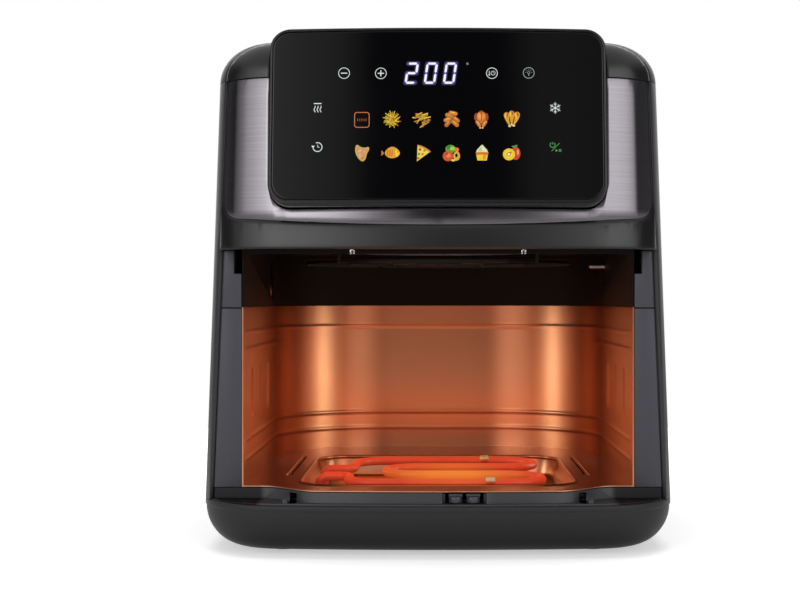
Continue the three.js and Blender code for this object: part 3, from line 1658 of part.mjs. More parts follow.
function coolingFanSolid() {
  const z1 = coolingFan.z + coolingFan.hubHeight;
  let shape = solid(ringSolid(fan.shaftRadius + gap, coolingFan.hubRadius, coolingFan.z, z1, lamp.sides));
  const length = coolingFan.bladeRadius - coolingFan.hubRadius / 2 - fan.shaftRadius;
  for (let i = 0; i < coolingFan.blades; i += 1) {
    const blade = new THREE.BoxGeometry(length, coolingFan.bladeWidth, coolingFan.bladeThickness);
    blade.rotateX(coolingFan.pitchDegrees * degrees);
    blade.translate(coolingFan.bladeRadius - length / 2, 0, coolingFan.z + coolingFan.hubHeight / 2);
    blade.rotateZ((wholeTurn * i) / coolingFan.blades);
    shape = shape.add(solid(blade));
  }
  const shaftWay = solid(rod(fan.shaftRadius + gap, coolingFan.z - overrun, z1 + overrun, lamp.sides));
  return shape.subtract(shaftWay).translate([0, fan.y, 0]);
}
piece('cooling_fan', coolingFanSolid(), looks.enamel);

// Power board, fuse, rear grille and gland

const shieldTopZ = shield.z + shield.thickness;
function powerBoardSolid() {
  const z0 = shieldTopZ + gap + powerBoard.standHeight;
  const z1 = z0 + powerBoard.thickness;
  const halfX = powerBoard.width / 2;
  const halfY = powerBoard.depth / 2;
  let shape = block(-halfX, halfX, -halfY, halfY, z0, z1);
  for (const x of [-halfX + powerBoard.edge, halfX - powerBoard.edge]) {
    for (const y of [-halfY + powerBoard.edge, halfY - powerBoard.edge]) {
      const stand = rod(powerBoard.standRadius, shieldTopZ + gap, z0 + gap, elementClip.sides);
      shape = shape.add(solid(stand.translate(x, y, 0)));
    }
  }
  for (const share of boardPartShares) {
    const x = share.x * powerBoard.width;
    const y = share.y * powerBoard.depth;
    const width = (share.width * powerBoard.width) / 2;
    const depth = (share.depth * powerBoard.depth) / 2;
    shape = shape.add(block(
      x - width, x + width, y - depth, y + depth, z1 - gap, z1 + share.height * powerBoard.width));
  }
  return shape.translate([shield.halfWidth - powerBoard.inset, powerBoard.y, 0]);
}
piece('power_board', powerBoardSolid(), looks.board);

function thermalFuse() {
  const z0 = fan.shroudTopZ + gap;
  const halfX = fuse.plateLength / 2;
  const halfY = fuse.plateWidth / 2;
  const plate = block(-halfX, halfX, -halfY, halfY, z0, z0 + fuse.plate);
  const halfLength = fuse.length / 2;
  const barrel = alongX(rod(fuse.radius, -halfLength, halfLength, fuse.sides), 0, 0, z0 + fuse.radius);
  return plate.add(solid(barrel)).translate([-fuse.x, fan.y, 0]);
}
piece('thermal_fuse', thermalFuse(), looks.ceramic);

function rearGrille() {
  const skin = bodySolid(gap).subtract(bodySolid(gap + grille.thickness));
  let shape = skin.intersect(block(
    -grille.halfWidth, grille.halfWidth, 0, farReach, grilleBottomZ, grilleTopZ));
  const pitch = grille.slotHeight + grille.bar;
  const slotLength = grille.halfWidth - grille.frame - grille.centreRib / 2;
  const room = grilleTopZ - grilleBottomZ - 2 * grille.frame;
  const rows = Math.floor((room + grille.bar) / pitch);
  for (let row = 0; row < rows; row += 1) {
    const z = grilleBottomZ + grille.frame + pitch * row;
    for (const side of [-1, 1]) {
      const near = side * (grille.centreRib / 2);
      const far = side * (grille.centreRib / 2 + slotLength);
      shape = shape.subtract(block(
        Math.min(near, far), Math.max(near, far), 0, farReach, z, z + grille.slotHeight));
    }
  }
  return shape;
}
piece('rear_grille', rearGrille(), looks.shell);

function cordGland() {
  const tipY = -body.frontY;
  const rearCentre = body.rearY - body.rearBow;
  const wallOuterY = rearCentre + Math.sqrt((body.rearBow - insetAt(gland.z)) ** 2 - gland.x ** 2);
  const seatY = wallOuterY + gap + gland.flangeThickness / 2;
  const profile = [
    [gland.bore, wallOuterY - gland.insideLength],
    [gland.neckRadius, wallOuterY - gland.insideLength],
    [gland.neckRadius, seatY],
    [gland.flangeRadius, seatY],
    [gland.flangeRadius, seatY + gland.flangeThickness],
    [gland.noseRadius, tipY],
    [gland.bore, tipY],
    [gland.bore, wallOuterY - gland.insideLength],
  ];
  const geometry = turned(profile, gland.sides);
  return geometry.rotateX(-quarter).translate(gland.x, 0, gland.z);
}
piece('cord_gland', solid(cordGland()), looks.rubber);

export default group;
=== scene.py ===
import math
import random

import bmesh
import bpy
from mathutils import Matrix, Vector


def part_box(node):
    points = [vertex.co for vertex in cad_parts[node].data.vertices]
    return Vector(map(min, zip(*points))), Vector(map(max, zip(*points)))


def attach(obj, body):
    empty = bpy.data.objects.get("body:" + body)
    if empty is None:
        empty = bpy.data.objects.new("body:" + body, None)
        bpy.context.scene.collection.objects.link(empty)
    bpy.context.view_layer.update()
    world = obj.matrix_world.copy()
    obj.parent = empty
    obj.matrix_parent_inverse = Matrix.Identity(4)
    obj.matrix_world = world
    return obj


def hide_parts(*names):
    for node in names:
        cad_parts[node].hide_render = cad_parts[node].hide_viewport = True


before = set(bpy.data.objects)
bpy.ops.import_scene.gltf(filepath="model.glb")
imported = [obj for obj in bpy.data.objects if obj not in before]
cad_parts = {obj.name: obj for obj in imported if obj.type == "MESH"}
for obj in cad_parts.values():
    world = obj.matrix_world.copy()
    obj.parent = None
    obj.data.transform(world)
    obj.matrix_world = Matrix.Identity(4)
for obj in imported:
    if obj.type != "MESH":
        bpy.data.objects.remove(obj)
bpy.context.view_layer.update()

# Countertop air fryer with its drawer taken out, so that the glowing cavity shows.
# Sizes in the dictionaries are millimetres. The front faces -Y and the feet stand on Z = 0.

mm = 0.001
quarter = math.pi / 2
weld = 0.002 * mm


# Selecting, editing and finishing

def clearSelection():
    if bpy.context.object and bpy.context.object.mode != "OBJECT":
        bpy.ops.object.mode_set(mode="OBJECT")
    bpy.ops.object.select_all(action="DESELECT")


def makeActive(piece):
    clearSelection()
    piece.select_set(True)
    bpy.context.view_layer.objects.active = piece


def linked(name, data):  # a new object in the scene
    piece = bpy.data.objects.new(name, data)
    bpy.context.scene.collection.objects.link(piece)
    return piece


def openMesh(piece, mode="VERT", action="SELECT"):
    makeActive(piece)
    bpy.ops.object.mode_set(mode="EDIT")
    bpy.ops.mesh.select_mode(type=mode)
    bpy.ops.mesh.select_all(action=action)
    return bmesh.from_edit_mesh(piece.data)


def closeMesh():
    bpy.ops.object.mode_set(mode="OBJECT")


def tidyMesh(piece):  # closes seams and poles, and turns the faces outwards
    openMesh(piece)
    bpy.ops.mesh.remove_doubles(threshold=weld)
    bpy.ops.mesh.normals_make_consistent(inside=False)
    closeMesh()


def closeRims(piece):  # fills every open edge loop with one flat face
    openMesh(piece, "EDGE", "DESELECT")
    bpy.ops.mesh.select_non_manifold(extend=False)
    bpy.ops.mesh.edge_face_add()
    bpy.ops.mesh.select_all(action="SELECT")
    bpy.ops.mesh.normals_make_consistent(inside=False)
    closeMesh()


def cutAtY(piece, y, side):  # removes what lies past the plane, to the front (-1) or the back (1)
    openMesh(piece)
    bpy.ops.mesh.bisect(plane_co=(0, y * mm, 0), plane_no=(0, side, 0), clear_outer=True)
    closeMesh()


def modify(piece, kind, **settings):  # adds one modifier and applies it
    modifier = piece.modifiers.new("shape", kind)
    for key, value in settings.items():
        setattr(modifier, key, value)
    makeActive(piece)
    bpy.ops.object.modifier_apply(modifier=modifier.name)


def thicken(piece, thickness, offset=-1):
    modify(piece, "SOLIDIFY", thickness=thickness * mm, offset=offset, use_even_offset=True)


def carve(piece, cutter, operation="DIFFERENCE"):
    modify(piece, "BOOLEAN", operation=operation, solver="EXACT", object=cutter)
    bpy.data.objects.remove(cutter)


def drill(piece, place, radius, depth, vertices, tilt=0.0):
    clearSelection()
    bpy.ops.mesh.primitive_cylinder_add(vertices=vertices, radius=radius * mm, depth=depth * mm,
                                        rotation=(tilt, 0, 0), location=Vector(place) * mm)
    carve(piece, bpy.context.object)


def roundEdges(piece, width, segments=2, angle=40):
    modify(piece, "BEVEL", width=width * mm, segments=segments, limit_method="ANGLE",
           angle_limit=math.radians(angle), use_clamp_overlap=True, harden_normals=False)


def finishPiece(piece, finish, slot, body="housing", nodes=(), smoothAngle=38):
    makeActive(piece)
    bpy.ops.object.transform_apply(location=True, rotation=True, scale=True)
    bpy.ops.object.shade_smooth_by_angle(angle=math.radians(smoothAngle))
    piece.data.materials.clear()
    piece.data.materials.append(finish)
    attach(piece, body)
    if nodes:
        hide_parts(*nodes)


# Shapes

def between(start, end, steps):  # evenly spaced values, with both ends
    return [start + (end - start) * i / steps for i in range(steps + 1)]


def arcPoints(x, y, radius, start, end, steps):
    return [(x + radius * math.cos(turn), y + radius * math.sin(turn)) for turn in between(start, end, steps)]


def roundedRectangle(x0, x1, y0, y1, radius, steps=14):
    west, east, south, north = x0 + radius, x1 - radius, y0 + radius, y1 - radius
    corners = ((east, south), (east, north), (west, north), (west, south))
    return [point for i, (x, y) in enumerate(corners)
            for point in arcPoints(x, y, radius, quarter * (i - 1), quarter * i, steps)]


def sheetThrough(name, rows, closed=True, capped=False):  # a grid whose rows of points are placed one by one
    if closed:
        rows = [list(row) + [row[0]] for row in rows]
    clearSelection()
    bpy.ops.mesh.primitive_grid_add(x_subdivisions=len(rows[0]) - 1, y_subdivisions=len(rows) - 1, size=0.1)
    piece = bpy.context.object
    piece.name = piece.data.name = name
    piece.data.vertices.foreach_set("co", [value * mm for row in rows for point in row for value in point])
    tidyMesh(piece)
    if capped:
        closeRims(piece)
    return piece


def curvePiece(name, dimensions, outlines, cyclic, **settings):  # straight splines made into a mesh
    curve = bpy.data.curves.new(name, "CURVE")
    curve.dimensions = dimensions
    for key, value in settings.items():
        setattr(curve, key, value)
    for outline in outlines:
        spline = curve.splines.new("POLY")
        spline.points.add(len(outline) - 1)
        spline.use_cyclic_u = cyclic
        for place, (x, y, *z) in zip(spline.points, outline):
            place.co = (x * mm, y * mm, sum(z) * mm, 1)
    makeActive(linked(name, curve))
    bpy.ops.object.convert(target="MESH")
    return bpy.context.object


def flatOutlines(name, outlines, thickness=0.0, edge=0.0):  # an outline inside another is a hole
    return curvePiece(name, "2D", outlines, True, fill_mode="BOTH", extrude=max(thickness / 2 - edge, 0) * mm,
                      bevel_depth=edge * mm, bevel_resolution=2)


def tubeThrough(name, points, radius):
    return curvePiece(name, "3D", [points], False, bevel_depth=radius * mm, bevel_resolution=5, use_fill_caps=True)


def joinPieces(name, pieces):
    clearSelection()
    for piece in pieces:
        piece.select_set(True)
    bpy.context.view_layer.objects.active = pieces[0]
    bpy.ops.object.join()
    joined = bpy.context.object
    joined.name = name
    return joined


def copyOfNode(node, name, edge):  # the CAD solid with softened edges
    piece = linked(name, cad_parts[node].data.copy())
    openMesh(piece)
    bpy.ops.mesh.remove_doubles(threshold=weld)
    bpy.ops.mesh.dissolve_limited(angle_limit=math.radians(1.0))
    closeMesh()
    if edge:
        roundEdges(piece, edge)
    return piece


# Finishes

def srgb(hexText):
    values = [int(hexText[i:i + 2], 16) / 255 for i in (1, 3, 5)]
    return [v / 12.92 if v <= 0.04045 else ((v + 0.055) / 1.055) ** 2.4 for v in values] + [1.0]


class nodeMaker:  # a socket given as a value is linked, a text is a colour, and all else is set
    def __init__(self, owner):
        self.owner, self.tree = owner, owner.node_tree
        self.shader = self.tree.nodes.get("Principled BSDF")
        self.place = self.add("TexCoord").outputs["Object"]

    def give(self, socket, value):
        if isinstance(value, bpy.types.NodeSocket):
            self.tree.links.new(value, socket)
        else:
            socket.default_value = srgb(value) if isinstance(value, str) else value

    def add(self, kind, settings=None):
        node = self.tree.nodes.new("ShaderNode" + kind)
        for key, value in (settings or {}).items():
            if isinstance(key, str) and hasattr(node, key):
                setattr(node, key, value)
            else:
                self.give(node.inputs[key], value)
        return node

    def split(self, vector):
        return self.add("SeparateXYZ", {"Vector": vector}).outputs

    def calc(self, operation, *values):
        return self.add("Math", {"operation": operation, **dict(enumerate(values))}).outputs["Value"]

    def noise(self, scale, detail=2.0, roughness=0.5, place=None):
        return self.add("TexNoise", {"Vector": self.place if place is None else place, "Scale": scale,
                                     "Detail": detail, "Roughness": roughness}).outputs["Fac"]

    def ramp(self, value, low=0.0, high=1.0, start=0.0, end=1.0, shape="LINEAR"):  # start..end becomes low..high
        return self.add("MapRange", {"interpolation_type": shape, "Value": value, "From Min": start, "From Max": end,
                                     "To Min": low, "To Max": high}).outputs["Result"]

    def mix(self, share, first, second, blend="MIX"):
        return self.add("Mix", {"data_type": "RGBA", "blend_type": blend, 0: share, 6: first, 7: second}).outputs[2]

    def relief(self, height, distance, strength=1.0):
        bump = self.add("Bump", {"Height": height, "Distance": distance * mm, "Strength": strength})
        return self.shade({"Normal": bump.outputs["Normal"]})

    def shade(self, sockets):  # fills the shader's inputs and hands back the material
        for name, value in sockets.items():
            self.give(self.shader.inputs[name], value)
        return self.owner

    def directly(self):  # 1 for what the camera sees, straight or through glass
        rays = self.add("LightPath").outputs
        return self.calc("MAXIMUM", rays["Is Camera Ray"], rays["Is Transmission Ray"])


def startFinish(name, colour, roughness, metallic=0.0, **sockets):
    material = bpy.data.materials.new(name)
    material.use_nodes = True
    material.diffuse_color = srgb(colour)
    nodes = nodeMaker(material)
    nodes.shade({"Base Color": colour, "Roughness": roughness, "Metallic": metallic})
    nodes.shade({socket.replace("_", " "): value for socket, value in sockets.items()})
    return nodes


def mottled(name, dark, light, grain, roughness, bump, metallic=0.0, stretch=(1, 1, 1), **sockets):
    # colour, roughness and relief that vary together over a grain of that many millimetres
    n = startFinish(name, light, roughness[1], metallic, **sockets)
    specks = n.noise(1 / (grain * mm), 4.0, 0.6, n.add("Mapping", {"Scale": stretch, "Vector": n.place}).outputs[0])
    if bump:
        n.relief(specks, bump, 0.6)
    return n.shade({"Base Color": n.mix(specks, dark, light), "Roughness": n.ramp(specks, *roughness)})


# ABS, injection moulded with a fine spark-eroded grain: near black, with a broad soft sheen
shellPlastic = mottled("sparkErodedAbsDark", "#1d1c1e", "#272629", 0.7, (0.34, 0.46), 0.012)
# the tub's ABS has a coarser, duller grain
tubPlastic = mottled("mattAbsTub", "#1b1a1b", "#252424", 0.9, (0.44, 0.56), 0.015,
                     Specular_IOR_Level=0.4, Sheen_Weight=0.3, Sheen_Roughness=0.3)
# the front moulding is smoother than the shell
frontPlastic = mottled("satinAbsFront", "#121113", "#1a191b", 0.6, (0.21, 0.27), 0.004, Specular_IOR_Level=0.62)
# jambs and sill are moulded in grey glass-filled nylon: lighter and a little waxy
jambPlastic = mottled("greyNylonMoulding", "#3a393f", "#46454d", 0.8, (0.38, 0.52), 0.012)
sillPlastic = mottled("greyNylonSill", "#2b2a2e", "#37363b", 0.8, (0.34, 0.48), 0.012)
# ABS from a polished mould
bezelPlastic = mottled("pianoAbsBezel", "#0f0f10", "#171618", 1.2, (0.18, 0.26), 0.003)
# plain matt ABS inside
blackPlastic = mottled("mattBlackAbs", "#0c0c0d", "#151516", 0.6, (0.45, 0.6), 0.01)
# nitrile rubber, dull
footRubber = mottled("nitrileRubber", "#0f0f10", "#1a1a1a", 0.5, (0.7, 0.85), 0.02)
# nylon turned on a lathe, so its grain runs round the axis
rollerNylon = mottled("turnedNylonRoller", "#303036", "#44444c", 0.8, (0.28, 0.38), 0.004, stretch=(1, 1, 6))
# vitreous enamel baked on steel, dulled by grease and heat; its near black is partly its own colour and partly a
# painted shade of the unlit top of the cavity
darkEnamel = mottled("bakedEnamelAndPaintedShade", "#030303", "#080706", 1.6, (0.45, 0.65), 0.01, Specular_IOR_Level=0.12)
# galvanised sheet with a large soft spangle
zincSheet = mottled("galvanisedSheetSteel", "#7d8286", "#b2b6b9", 6.0, (0.28, 0.5), 0.004, metallic=1.0)
# sintered bronze, porous
bronzeBush = mottled("sinteredBronze", "#8a6530", "#b98c4a", 0.4, (0.35, 0.55), 0.01, metallic=1.0)
# bright chromium plate
chromeWire = mottled("brightChromedWire", "#c9ccd0", "#eceef0", 3.0, (0.06, 0.14), 0.0, metallic=1.0)
# Incoloy sheath, oxidised in use
sheathMetal = mottled("oxidisedIncoloySheath", "#3b3633", "#6a6460", 1.4, (0.38, 0.6), 0.008, metallic=1.0)
# steel wire blackened by heat, and darkened further as a painted shade of the unlit top of the cavity
guardWire = mottled("blackenedGuardWireAndPaintedShade", "#0c0a09", "#1a1513", 1.4, (0.5, 0.7), 0.008, metallic=0.4)
# fired steatite, unglazed
steatite = mottled("steatiteCeramic", "#d8d1c2", "#eae4d7", 0.8, (0.5, 0.7), 0.01)
# galvanised sheet with a fine spangle
impellerSteel = mottled("galvanisedImpellerSheet", "#8f9296", "#b9bcbf", 2.0, (0.3, 0.45), 0.004, metallic=1.0)


def darkenSillEnds(startX, endX):  # the two blocks at its ends are darker than the middle, with less shine
    n = nodeMaker(sillPlastic)
    share = n.ramp(n.calc("ABSOLUTE", n.split(n.place)["X"]), start=startX * mm, end=endX * mm)
    middle = n.shader.inputs["Base Color"].links[0].from_socket
    n.shade({"Base Color": n.mix(share, middle, "#0c0b0d"), "Specular IOR Level": n.ramp(share, 0.5, 0.2)})


darkenSillEnds(116, 120)


def brushedSteel():  # hairlines from side to side, which spread highlights up and down
    n = startFinish("brushedStainlessFascia", "#8f8a90", 0.3, 1.0, Anisotropic=0.85)
    hairlines = (9, 9, 2600)  # 0.4 mm apart
    lines = n.noise(1.0, 3.0, 0.55, n.add("Mapping", {"Scale": hairlines, "Vector": n.place}).outputs[0])
    tangent = n.add("Tangent", {"direction_type": "UV_MAP", "uv_map": "brushing"}).outputs["Tangent"]
    n.relief(lines, 0.004, 0.5)
    return n.shade({"Base Color": n.mix(lines, "#7b767c", "#a19ca2"), "Roughness": n.ramp(lines, 0.13, 0.21),
                    "Tangent": tangent})


cavity = {"halfWidth": 131.3, "floorZ": 44.2, "topZ": 164.5, "frontY": -134.5, "rearY": 129, "sheet": 1.0,
          "cornerRun": 90, "cornerDepth": 80, "cornerSteps": 30, "sideSteps": 110, "rearSteps": 30, "rowStep": 1.05,
          "footDrop": 0.8}
linerTintAndPaintedLight = {"lowZ": 40, "highZ": 165, "flatX": 80, "cornerX": 90, "footZ": 44.3, "aboveFootZ": 44.6,
             "floorBand": 3, "paintedFlatShade": (0.84, 0.68, 0.6, 1)}


def linerSteel():  # pressed stainless: its copper tone is partly heat tint and partly a painted glow of the red-hot elements under and over it
    s = linerTintAndPaintedLight
    n = startFinish("heatTintAndPaintedGlowStainless", "#c8805a", 0.28, 1.0)
    place = n.split(n.place)
    clouds = n.noise(14.0, 4.0, 0.55)
    # painted glow: lighter low down by the red-hot element, darker higher up
    height = n.ramp(place["Z"], 0.0, 0.7, s["lowZ"] * mm, s["highZ"] * mm)
    bright = n.mix(n.calc("MULTIPLY_ADD", clouds, 0.45, height), "#dea27c", "#b88062")
    corners = n.ramp(n.calc("ABSOLUTE", place["X"]), start=s["flatX"] * mm, end=s["cornerX"] * mm)
    foot = n.ramp(place["Z"], start=s["aboveFootZ"] * mm, end=s["footZ"] * mm)
    # the middle of the rear wall gets a painted shade, darker than its corners and the side walls
    rearWallShade = n.mix(n.calc("MAXIMUM", corners, foot), s["paintedFlatShade"], (1, 1, 1, 1))
    wall = n.mix(1.0, bright, rearWallShade, "MULTIPLY")
    upward = n.ramp(n.split(n.add("NewGeometry").outputs["Normal"])["Z"], start=0.9, end=0.98)
    atFloor = n.calc("COMPARE", place["Z"], cavity["floorZ"] * mm, s["floorBand"] * mm)
    n.relief(n.noise(11.0, 0.0), 0.2, 0.5)
    # the range of roughness stays above 0.274, where the denoiser leaves cracks in a metal
    return n.shade({"Base Color": n.mix(n.calc("MULTIPLY", upward, atFloor), wall, "#d6aca2"),
                    "Roughness": n.ramp(clouds, 0.285, 0.32)})


def touchGlass():  # black back-printed tempered glass: mirror smooth, with the faintest wiping marks
    n = startFinish("blackTemperedGlass", "#060608", 0.04)
    return n.shade({"Roughness": n.ramp(n.noise(22.0, 3.0), 0.03, 0.08)})


tubeHeatAndPaintedLight = {"lowZ": 40.5, "highZ": 46.7, "centre": (10, -70, 43.5), "near": 15, "far": 60}


def glowingTube():  # Incoloy at red heat: its top has a painted highlight, a brighter red, and its underside a painted shade, a duller red
    s = tubeHeatAndPaintedLight
    n = startFinish("incoloyAtRedHeat", "#7a2414", 0.42, Emission_Strength=0.8)
    patches = n.noise(30.0, 3.0)
    # painted light: the emission is brighter on the top of the tube and duller underneath
    upper = n.ramp(n.split(n.place)["Z"], 0.0, 0.75, s["lowZ"] * mm, s["highZ"] * mm)
    red = n.mix(n.calc("MULTIPLY_ADD", patches, 0.35, upper), "#5c0a05", "#ee4624")
    away = n.add("VectorMath", {"operation": "DISTANCE", 0: n.place, 1: Vector(s["centre"]) * mm}).outputs["Value"]
    heat = n.mix(n.ramp(away, 0.7, 0.0, s["near"] * mm, s["far"] * mm), red, "#ff9430")
    return n.shade({"Base Color": n.mix(patches, "#5a1a10", "#8e3a24"), "Emission Color": heat})


def goldPassivated():  # spring clips on the hot tube: the crest has a painted highlight, pale, and the flanks a painted shade, red-brown
    n = startFinish("goldPassivatedSpringClip", "#e8c87a", 0.36, 0.4)
    # painted highlight on the crest, painted shade on the flanks
    crest = n.ramp(n.split(n.place)["Z"], start=44.8 * mm, end=46.2 * mm)
    pale = n.mix(n.noise(260.0), "#e8c87a", "#fff0c0")
    return n.shade({"Base Color": n.mix(crest, "#c2481e", pale)})


def stripedMetal(name, dark, light, pitch, roughness):  # windings and laminations
    n = startFinish(name, light, roughness, 1.0)
    bands = n.add("TexWave", {"wave_type": "BANDS", "bands_direction": "Z", "Scale": 1 / (20 * pitch * mm),
                              "Distortion": 0.3, "Vector": n.place}).outputs["Fac"]
    n.relief(bands, 0.1, 0.7)
    return n.shade({"Base Color": n.mix(bands, dark, light),
                    "Roughness": n.ramp(n.noise(400.0), roughness - 0.08, roughness + 0.1)})


def circuitBoard():  # green solder mask over copper tracks
    n = startFinish("solderMaskedFibreglass", "#1c5a3a", 0.35)
    tracks = n.add("TexBrick", {"Scale": 160.0, "Mortar Size": 0.03, "Color1": "#17492f", "Color2": "#1d5a3a",
                                "Mortar": "#2f7c50", "Vector": n.place})
    return n.shade({"Base Color": tracks.outputs["Color"], "Roughness": n.ramp(n.noise(300.0), 0.25, 0.45)})


def lampGlass():  # borosilicate lens, clear, with a slightly uneven pressed face
    n = startFinish("pressedBorosilicate", "#3a2c20", 0.12, IOR=1.47, Transmission_Weight=0.9)
    return n.relief(n.noise(120.0), 0.05)


fasciaSteel = brushedSteel()
cavitySteel = linerSteel()
blackGlass = touchGlass()
redHotTube = glowingTube()
goldClip = goldPassivated()
copperWire = stripedMetal("enamelledCopperWinding", "#7a3d1c", "#c77a45", 0.6, 0.35)
lamination = stripedMetal("stackedElectricalSteel", "#3d3b39", "#6b6966", 0.5, 0.45)
greenBoard = circuitBoard()
lensGlass = lampGlass()
print("finishes ready")


# Housing

housing = {"halfWidth": 160, "frontY": -170, "rearY": 164, "frontBow": 1200, "rearBow": 1500,
           "frontCorner": 55, "rearCorner": 50, "draft": math.tan(math.radians(2)), "seamZ": 34.5,
           "shoulderZ": 317, "shoulderRun": 31, "shoulderRise": 27.5, "wall": 2.6, "jambPlane": -135,
           "bowSteps": 12, "cornerSteps": 14, "shoulderSteps": 14}


def insetAt(z):
    return (z - housing["seamZ"]) * housing["draft"]


def bowEnd(bow, corner):  # from a bow's centre to that of its round corner: across, direct and along
    x, span = housing["halfWidth"] - corner, bow - corner
    return x, span, math.sqrt(span ** 2 - x ** 2)


def outlineAt(inset):
    s = housing
    frontX, frontSpan, frontWay = bowEnd(s["frontBow"], s["frontCorner"])
    rearX, rearSpan, rearWay = bowEnd(s["rearBow"], s["rearCorner"])
    frontCentre, rearCentre = s["frontY"] + s["frontBow"], s["rearY"] - s["rearBow"]
    frontTurn, rearTurn = math.asin(frontX / frontSpan) - quarter, quarter - math.asin(rearX / rearSpan)
    right = arcPoints(0, frontCentre, s["frontBow"] - inset, -quarter, frontTurn, s["bowSteps"])[:-1]
    right += arcPoints(frontX, frontCentre - frontWay, s["frontCorner"] - inset, frontTurn, 0, s["cornerSteps"])
    right += arcPoints(rearX, rearCentre + rearWay, s["rearCorner"] - inset, 0, rearTurn, s["cornerSteps"])
    right += arcPoints(0, rearCentre, s["rearBow"] - inset, rearTurn, quarter, s["bowSteps"])[1:]
    return right + [(-x, y) for x, y in right[1:-1][::-1]]


def ringAt(inset, z):
    return [(x, y, z) for x, y in outlineAt(inset)]


def wallRing(z, inset=0.0):  # a ring on the drafted wall
    return ringAt(insetAt(z) + inset, z)


def bodyRings(fromZ):  # drafted wall, then the rounded shoulder
    s = housing
    rings = [wallRing(z) for z in (fromZ, s["shoulderZ"]) if z >= fromZ]
    for turn in between(0, quarter, s["shoulderSteps"])[1:]:
        rings.append(ringAt(insetAt(s["shoulderZ"]) + s["shoulderRun"] * (1 - math.cos(turn)),
                            s["shoulderZ"] + s["shoulderRise"] * math.sin(turn)))
    return rings


def frontYAt(x, z, inset):  # the front surface of the housing at a height
    s = housing
    depth = insetAt(z) + inset
    frontX, frontSpan, frontWay = bowEnd(s["frontBow"], s["frontCorner"])
    frontCentre, bow, reach = s["frontY"] + s["frontBow"], s["frontBow"] - depth, s["frontCorner"] - depth
    if abs(x) <= bow * frontX / frontSpan:
        return frontCentre - math.sqrt(bow ** 2 - x ** 2)
    return frontCentre - frontWay - math.sqrt(reach ** 2 - min(abs(x) - frontX, reach) ** 2)


shell = {"lowZ": 34.8, "highZ": 316.85, "rows": 18, "edge": 0.5, "edgeAngle": 50, "halfGap": 0.15, "cutY": 150,
         "cutDepth": 100}
grille = {"width": 120.6, "height": 66.6, "centreZ": 265}
gland = {"x": 96, "z": 62, "neck": 8.3}


def makeOuterShell():
    wrap = sheetThrough("outerShell", [wallRing(z) for z in between(shell["lowZ"], shell["highZ"], shell["rows"])])
    cutAtY(wrap, housing["jambPlane"] + shell["halfGap"], -1)
    thicken(wrap, housing["wall"])
    clearSelection()
    bpy.ops.mesh.primitive_cube_add(size=mm, location=(0, shell["cutY"] * mm, grille["centreZ"] * mm),
                                    scale=(grille["width"], shell["cutDepth"], grille["height"]))
    carve(wrap, bpy.context.object)
    drill(wrap, (gland["x"], shell["cutY"], gland["z"]), gland["neck"], shell["cutDepth"], 40, quarter)
    roundEdges(wrap, shell["edge"], angle=shell["edgeAngle"])
    finishPiece(wrap, shellPlastic, "shell", nodes=["outer_shell"])


def makeTopCover():
    cover = sheetThrough("topCover", bodyRings(shell["highZ"] + 2 * shell["halfGap"]), capped=True)
    for face in openMesh(cover, "FACE", "DESELECT").faces:
        face.select = face.normal.z < -0.9
    bmesh.update_edit_mesh(cover.data)
    bpy.ops.mesh.delete(type="ONLY_FACE")
    closeMesh()
    cutAtY(cover, housing["jambPlane"] + shell["halfGap"], -1)
    thicken(cover, housing["wall"])
    roundEdges(cover, shell["edge"], angle=shell["edgeAngle"])
    finishPiece(cover, shellPlastic, "shell", nodes=["top_cover"])


tub = {"edgeRun": 27, "floorZ": 2.5, "bandZ": 30.5, "bandStep": 0.6, "rim": 0.7, "ledge": 9, "ledgeDrop": 2.5,
       "edgeSteps": 16, "inside": [(3.2, 28), (3.2, 22), (9, 11), (18, 6.4), (27, 5.5)]}


def makeTub():  # its section is (inset, z), from the underside over the rim to the inside
    s, top = tub, housing["seamZ"]
    run, drop = s["edgeRun"] - s["bandStep"], s["bandZ"] - s["floorZ"]
    levels = [(s["bandStep"] + run * (1 - math.cos(turn)), s["bandZ"] - drop * math.sin(turn))
              for turn in between(quarter, 0, s["edgeSteps"])]
    levels += [(0.15, s["bandZ"] + 0.2), (0, s["bandZ"] + 0.6), (0, top - s["rim"]),
               (0.2 * s["rim"], top - 0.3 * s["rim"]), (s["rim"], top), (s["ledge"], top),
               (s["ledge"], top - s["ledgeDrop"])]
    shape = sheetThrough("baseTub", [ringAt(inset, z) for inset, z in levels + s["inside"]], capped=True)
    finishPiece(shape, tubPlastic, "tub", nodes=["base_tub"])


foot = {"steps": 48, "profile": [(0, 0), (7, 0), (9.9, 0.1), (10.6, 0.4), (11, 1.0), (11, 2.0), (10.8, 2.2),
                                 (3, 2.2), (3, 5.5), (0, 5.5)]}


def makeFeet():  # turned from a profile of (radius, z)
    for node in ("foot_front_left", "foot_front_right", "foot_rear_left", "foot_rear_right"):
        low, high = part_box(node)
        x, y = (low.x + high.x) / 2 / mm, (low.y + high.y) / 2 / mm
        rows = [[(a, b, z) for a, b in arcPoints(x, y, radius, 0, 2 * math.pi, foot["steps"])[:-1]]
                for radius, z in foot["profile"]]
        piece = sheetThrough(node.replace("_", " ").title().replace(" ", ""), rows)
        finishPiece(piece, footRubber, "rubber", nodes=[node])


makeOuterShell()
makeTopCover()
makeTub()
makeFeet()
print("housing ready")


# Head: moulding round the brushed plate, and the leaning panel

